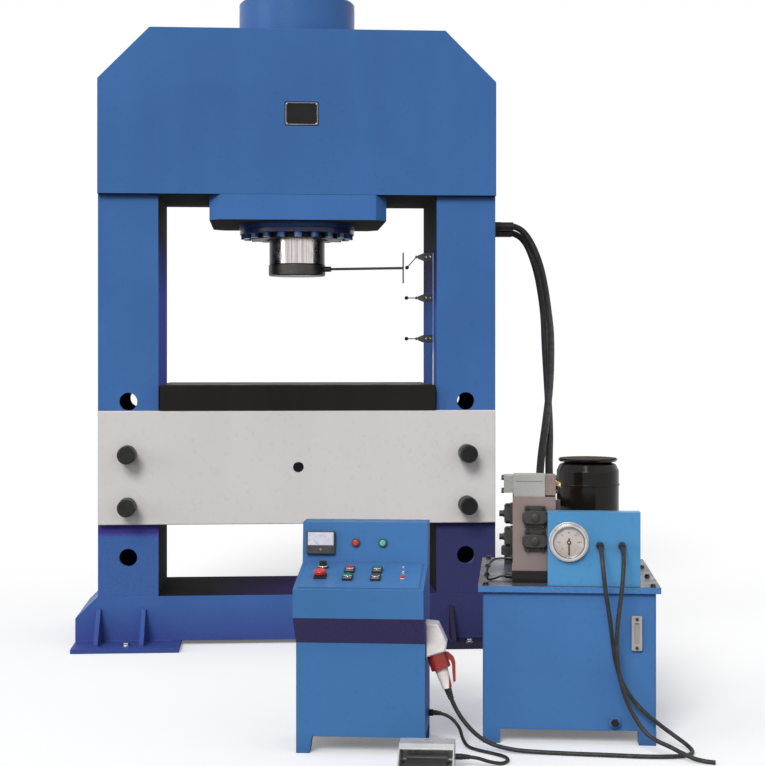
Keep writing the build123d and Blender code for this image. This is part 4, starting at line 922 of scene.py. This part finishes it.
# Power pack
lid_planes = [shifted(PACK, x, y, 0.550) for x in (-0.290, 0.290) for y in (0.010, 0.260, 0.510, 0.750)]
turned("lid_screws", cap_screw(0.0085, 0.010), lid_planes, "bolt_steel", blacked)

DIGIT_RING = 0.0335
turned("gauge_dial", [(0.050, 0.0138), (0.050, 0.0145)], [GAUGE], "level_white", dial_white, 72)
scale = bmesh.new()
for step in range(31):
    inner, width = (0.040, 0.0012) if step % 5 == 0 else (0.0428, 0.0006)
    add_tick(scale, (0, 0), math.radians(9 * step), inner, 0.046, width, GAUGE, 0.0143, 0.0147)
for step in range(7):
    angle = math.radians(45 * step)
    digit_x = -DIGIT_RING * math.sin(angle)
    add_digits(scale, str(10 * step), 0.0085, digit_x, -DIGIT_RING * math.cos(angle), GAUGE, 0.0146)
keep_piece("gauge_scale", scale, "pointer_black", print_black)
GAUGE_GROOVE = [(0.0528, 0.0236), (0.0528, 0.0244), (0.0552, 0.0244), (0.0552, 0.0236)]
turned("gauge_groove", GAUGE_GROOVE, [GAUGE], "gauge_chrome", blacked, 72, True)

MOTOR = shifted(PACK, 0.085, 0.450)
COWL_BAND = [(0.1145, 0.8665), (0.1182, 0.867), (0.119, 0.870), (0.1182, 0.873), (0.1145, 0.8735)]
turned("cowl_band", COWL_BAND, [MOTOR], "motor_black", segments=72, closed=True)
COWL_NECK = [(0.090, 0.956), (0.106, 0.956), (0.111, 0.963), (0.111, 0.9648), (0.090, 0.9648)]
turned("cowl_neck", COWL_NECK, [MOTOR], "motor_black", segments=72, closed=True)

coils = bmesh.new()
coil_planes = [facing(PACK, -0.117, 0.075, height) for height in (0.783, 0.700)]
for plane in coil_planes:
    add_slab(coils, rectangle(0.074, 0.078, corner=0.006), -0.0002, 0.010, plane, 0.0015)
    add_slab(coils, rectangle(0.090, 0.047, corner=0.012, steps=1), 0.008, 0.034, plane, 0.003)
    add_turned(coils, [(0.015, 0.033), (0.015, 0.038), (0.0115, 0.040)], plane)
for height in (0.785, 0.702):
    plane = sideways(PACK, -0.196, 0.170, height, -1)
    add_slab(coils, rectangle(0.070, 0.074, corner=0.006), -0.0002, 0.008, plane, 0.0015)
    add_slab(coils, rectangle(0.064, 0.070, corner=0.012, steps=1), 0.007, 0.030, plane, 0.006)
    add_turned(coils, [(0.0135, 0.029), (0.0135, 0.033), (0.012, 0.034, 6), (0.012, 0.048, 6)], plane)
coil_blocks = keep_piece("coil_blocks", coils, "coil_black")
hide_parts("solenoid_valves")
screw_planes = [shifted(plane, x, y, 0.010) for plane in coil_planes for x, y in corners(0.0275, 0.031)]
turned("coil_screws", cap_screw(0.0062, 0.011, 1.1), screw_planes, "bolt_steel", blacked)

VALVE_NUT = [(0.017, 0, 6), (0.017, 0.010, 6), (0.012, 0.0105), (0.012, 0.017), (0.009, 0.019)]
turned("valve_nut", VALVE_NUT, [sideways(PACK, -0.044, 0.130, 0.890)], "bright_steel", brass)
VALVE_FRONT = facing(PACK, -0.138, 0.080, 0.9075)
slab("valve_seam", [rectangle(0.094, 0.0012)], -0.0002, 0.0005, VALVE_FRONT, "coil_black", print_black)
LEAD_GLAND = [(0.0105, 0, 6), (0.0105, 0.008, 6), (0.0078, 0.0085), (0.0078, 0.020), (0.005, 0.027)]
gland_planes = [sideways(PACK, -0.196, 0.108, 0.632, -1), sideways(PACK, -0.198, 0.150, 0.563, -1)]
turned("lead_glands", LEAD_GLAND, gland_planes, "bolt_steel", blacked)

# Console
METER_X = -0.155
METER_PIVOT = (METER_X, 0.056)
METER_START = math.radians(132)
METER_OUTLINE = rectangle(0.090, 0.045, METER_X, 0.0835, 0.002)
slab("meter_face", [METER_OUTLINE], 0.0176, 0.0184, RISER, "meter_white", meter_white)
meter_scale = bmesh.new()
for step in range(13):
    inner, width = (0.0355, 0.0008) if step % 3 == 0 else (0.0375, 0.0005)
    angle = METER_START + math.radians(8 * step)
    add_tick(meter_scale, METER_PIVOT, angle, inner, 0.040, width, RISER, 0.0183, 0.0186)
add_tick(meter_scale, METER_PIVOT, METER_START, 0.008, 0.0385, 0.0009, RISER, 0.0186, 0.019)
keep_piece("meter_scale", meter_scale, "black_plastic", print_black)
METER_SCREW = [(0.0045, 0.0176), (0.0045, 0.0192), (0.0038, 0.0198)]
turned("meter_screw", METER_SCREW, [shifted(RISER, METER_X, 0.046)], "black_plastic", label_grey, 20)

button_places = [(x, y) for x in (-0.045, 0.050) for y in (0.114, 0.190)]
BUTTON_RING = [
    (0.0117, 0.0109), (0.0152, 0.0109), (0.0152, 0.0126), (0.0142, 0.0138),
    (0.0124, 0.0138), (0.0117, 0.013),
]
button_planes = [shifted(DESK, x, y) for x, y in button_places]
turned("button_rings", BUTTON_RING, button_planes, "bright_steel", chromed, 32, True)
label_outlines = [rectangle(0.028, 0.011, x, y - 0.0265, 0.001) for x, y in button_places]
slab("button_labels", label_outlines, 0.0108, 0.0116, DESK, "black_plastic", label_grey)
SELECTOR_RING = [(0.0145, 0.0109), (0.0178, 0.0109), (0.0178, 0.0128), (0.017, 0.0138), (0.0145, 0.0138)]
turned("selector_ring", SELECTOR_RING, [shifted(DESK, -0.140, 0.208)], "bright_steel", chromed, 32, True)
DESK_LAMP = shifted(DESK, 0.141, 0.109)
LAMP_SEAT = [(0.0095, 0.0028), (0.0095, 0.005), (0.008, 0.006)]
turned("desk_lamp_seat", LAMP_SEAT, [DESK_LAMP], "bright_steel", chromed)
LAMP_LENS = [(0.0068, 0.0055), (0.0068, 0.011), (0.0056, 0.0136), (0.0034, 0.015), (0.0012, 0.0155)]
turned("desk_lamp_lens", LAMP_LENS, [DESK_LAMP], "red_plastic", lamp_red)
TOGGLE_NUT = [(0.0085, 0.0028, 6), (0.0085, 0.006, 6), (0.0055, 0.0062), (0.0055, 0.011)]
TOGGLE_LEVER = [(0.0022, 0.0115), (0.0034, 0.024), (0.003, 0.0262), (0.0014, 0.0272)]
turned("desk_toggle", TOGGLE_NUT + TOGGLE_LEVER, [shifted(DESK, 0.141, 0.163)], "bright_steel", chromed)
DESK_SLOT = rectangle(0.074, 0.005, 0.127, 0.268)
slab("desk_slot", [DESK_SLOT], -0.0005, 0.0006, DESK, "black_plastic", plate_black)


# Hoses and cables: the CAD model's routes as smooth splines; the hoses' first points follow the photograph
HOSE = 0.030
CABLE = 0.015
PEDAL_CABLE = 0.012
LEAD = 0.007
PLUG_RUN = 0.068
CABLE_RUN = 0.044


def placed(unit, *points):
    """Points of a unit's own frame, in the shared frame."""
    return [tuple(unit @ Vector(point)) for point in points]


hose_front_route = [
    (1.028, -0.230, 1.966), (1.060, -0.231, 1.957), (1.097, -0.237, 1.918), (1.130, -0.250, 1.853),
    (1.152, -0.305, 1.764), (1.153, -0.425, 1.650), (1.141, -0.570, 1.548), (1.115, -0.790, 1.440),
    (1.050, -1.150, 1.250), (0.967, -1.520, 1.088), (0.915, -1.705, 0.955), (0.892, -1.806, 0.852),
] + placed(PACK, (-0.095, 0.445, 0.800), (-0.095, 0.335, 0.800))
hose_rear_route = [
    (1.028, -0.180, 1.938), (1.061, -0.181, 1.928), (1.097, -0.187, 1.889), (1.124, -0.200, 1.822),
    (1.141, -0.255, 1.733), (1.138, -0.385, 1.623), (1.124, -0.540, 1.522), (1.090, -0.760, 1.410),
    (1.040, -1.130, 1.210), (0.987, -1.495, 1.050), (0.947, -1.700, 0.936), (0.932, -1.808, 0.848),
] + placed(PACK, (-0.050, 0.445, 0.800), (-0.050, 0.335, 0.800))
supply_route = placed(
    PACK,
    (0.106, -0.008, 0.693), (0.106, -0.052, 0.693), (0.108, -0.094, 0.670), (0.111, -0.119, 0.627),
    (0.118, -0.124, 0.556), (0.134, -0.108, 0.460), (0.147, -0.082, 0.360), (0.160, -0.060, 0.280),
    (0.188, -0.044, 0.205), (0.236, -0.036, 0.142),
) + [
    (1.195, -2.449, 0.088), (1.252, -2.456, 0.046), (1.292, -2.492, 0.019), (1.298, -2.545, 0.008),
    (1.262, -2.584, 0.008), (1.205, -2.598, 0.009), (1.118, -2.588, 0.008), (1.000, -2.560, 0.009),
    (0.890, -2.532, 0.008), (0.780, -2.506, 0.009), (0.685, -2.482, 0.012), (0.605, -2.462, 0.032),
    (0.545, -2.450, 0.078),
    tuple(PLUG_END + PLUG_RUN * PLUG_ALONG),
    tuple(PLUG_END),
]
mains_route = placed(
    PACK,
    (0.182, -0.008, 0.693), (0.182, -0.052, 0.693), (0.182, -0.095, 0.671), (0.180, -0.122, 0.629),
    (0.174, -0.131, 0.556), (0.161, -0.129, 0.460), (0.155, -0.118, 0.362), (0.164, -0.111, 0.272),
    (0.184, -0.108, 0.192), (0.214, -0.108, 0.128),
) + [
    (1.130, -2.525, 0.078), (1.164, -2.556, 0.053), (1.203, -2.595, 0.042), (1.241, -2.632, 0.025),
    (1.285, -2.662, 0.009), (1.334, -2.682, 0.008),
]
pedal_route = placed(PEDAL, (0.110, -0.025, 0.035), (0.110 + CABLE_RUN, -0.025, 0.035)) + [
    (0.583, -2.664, 0.019), (0.628, -2.646, 0.007), (0.658, -2.604, 0.006), (0.655, -2.550, 0.007),
    (0.620, -2.500, 0.006), (0.575, -2.456, 0.007), (0.544, -2.402, 0.006), (0.533, -2.347, 0.020),
    (0.528, -2.300, 0.055),
] + placed(CONSOLE, (0.235 + CABLE_RUN, 0.230, 0.095), (0.235, 0.230, 0.095))
sensor_lead_route = placed(
    PACK,
    (-0.222, 0.108, 0.632), (-0.240, 0.108, 0.632), (-0.266, 0.104, 0.628), (-0.284, 0.098, 0.604),
    (-0.288, 0.098, 0.574), (-0.284, 0.106, 0.5545), (-0.268, 0.130, 0.554), (-0.248, 0.148, 0.558),
    (-0.236, 0.150, 0.563), (-0.222, 0.150, 0.563),
)


def tube(name, route, diameter, material=None):
    """A smooth round tube along a route."""
    curve = spline_curve(name, route, 10)
    curve.bevel_depth = diameter / 2
    curve.bevel_resolution = 5
    curve.use_fill_caps = True
    return keep(name, curve, "cord_rubber", material)


def cord(name, route, diameter):
    """A hose or cable along a route, in place of its CAD solid."""
    hanging = diameter == HOSE
    piece = tube(f"{name}_run", route, diameter, hose_rubber if hanging else None)
    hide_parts(name)


cord("hose_front", hose_front_route, HOSE)
cord("hose_rear", hose_rear_route, HOSE)
cord("supply_cable", supply_route, CABLE)
cord("mains_cable", mains_route, CABLE)
cord("pedal_cable", pedal_route, PEDAL_CABLE)

tube("sensor_lead", sensor_lead_route, LEAD)
tapered_relief("supply_relief", supply_route, 0.0135, 0.0095, 0.034)
tapered_relief("mains_relief", mains_route, 0.0135, 0.0095, 0.034)
tapered_relief("plug_relief", supply_route[::-1], 0.014, 0.0095, 0.040)
tapered_relief("pedal_relief", pedal_route, 0.0105, 0.0075, 0.028)
tapered_relief("console_relief", pedal_route[::-1], 0.0105, 0.0075, 0.028)


# Floor and light: the camera, metal and glass see a white room, and other light is plain and soft
FLOOR_SIDE = 1200.0
FLOOR_SEEN = (0.955, 0.955, 0.955)
FLOOR_LIT = (0.14, 0.14, 0.14)
FLOOR_GLOW = 0.16
SKY_STRENGTH = 0.50
WHITE = (1, 1, 1, 1)


def seen_by_eye(tree):
    """Socket that is 1 for rays of the camera and for what metal and glass show, and 0 for other light."""
    path = tree.nodes.new("ShaderNodeLightPath")
    seen = path.outputs["Is Camera Ray"]
    for way in ("Is Glossy Ray", "Is Transmission Ray"):
        either = tree.nodes.new("ShaderNodeMath")
        either.operation = "MAXIMUM"
        tree.links.new(seen, either.inputs[0])
        tree.links.new(path.outputs[way], either.inputs[1])
        seen = either.outputs[0]
    return seen


# The floor keeps shadows, and throws less light back up than the camera sees
pale_floor = Finish("pale_floor")
seen = seen_by_eye(pale_floor.tree)
pale_floor.set(Base_Color=pale_floor.mix(seen, FLOOR_LIT, FLOOR_SEEN), Roughness=0.9, Specular_IOR_Level=0.0)
pale_floor.set(Emission_Color=WHITE, Emission_Strength=pale_floor.times(seen, FLOOR_GLOW))
floor_mesh = bpy.data.meshes.new("floor")
floor_mesh.from_pydata([(x, y, 0) for x, y in rectangle(FLOOR_SIDE, FLOOR_SIDE)], [], [(0, 1, 2, 3)])
floor_mesh.materials.append(pale_floor.material)
floor = bpy.data.objects.new("floor", floor_mesh)
scene.collection.objects.link(floor)


def soft_sun(name, towards, strength, spread):
    """A broad lamp; towards is the direction to the lamp."""
    lamp_data = bpy.data.lights.new(name, "SUN")
    lamp_data.energy = strength
    lamp_data.angle = math.radians(spread)
    lamp = bpy.data.objects.new(name, lamp_data)
    lamp.rotation_mode = "QUATERNION"
    lamp.rotation_quaternion = Vector(towards).to_track_quat("Z", "Y")
    scene.collection.objects.link(lamp)


soft_sun("key", towards=(-0.30, -0.80, 0.58), strength=1.95, spread=24)
soft_sun("fill", towards=(0.75, -0.55, 0.45), strength=0.15, spread=60)
soft_sun("side", towards=(-0.92, -0.38, 0.20), strength=0.55, spread=30)

world = bpy.data.worlds.new("studio")
world.use_nodes = True
scene.world = world
world_tree = world.node_tree
backdrop = world_tree.nodes["Background"]
backdrop.inputs["Color"].default_value = WHITE
sky_level = world_tree.nodes.new("ShaderNodeMapRange")
sky_level.inputs["To Min"].default_value = SKY_STRENGTH
world_tree.links.new(seen_by_eye(world_tree), sky_level.inputs["Value"])
world_tree.links.new(sky_level.outputs[0], backdrop.inputs["Strength"])
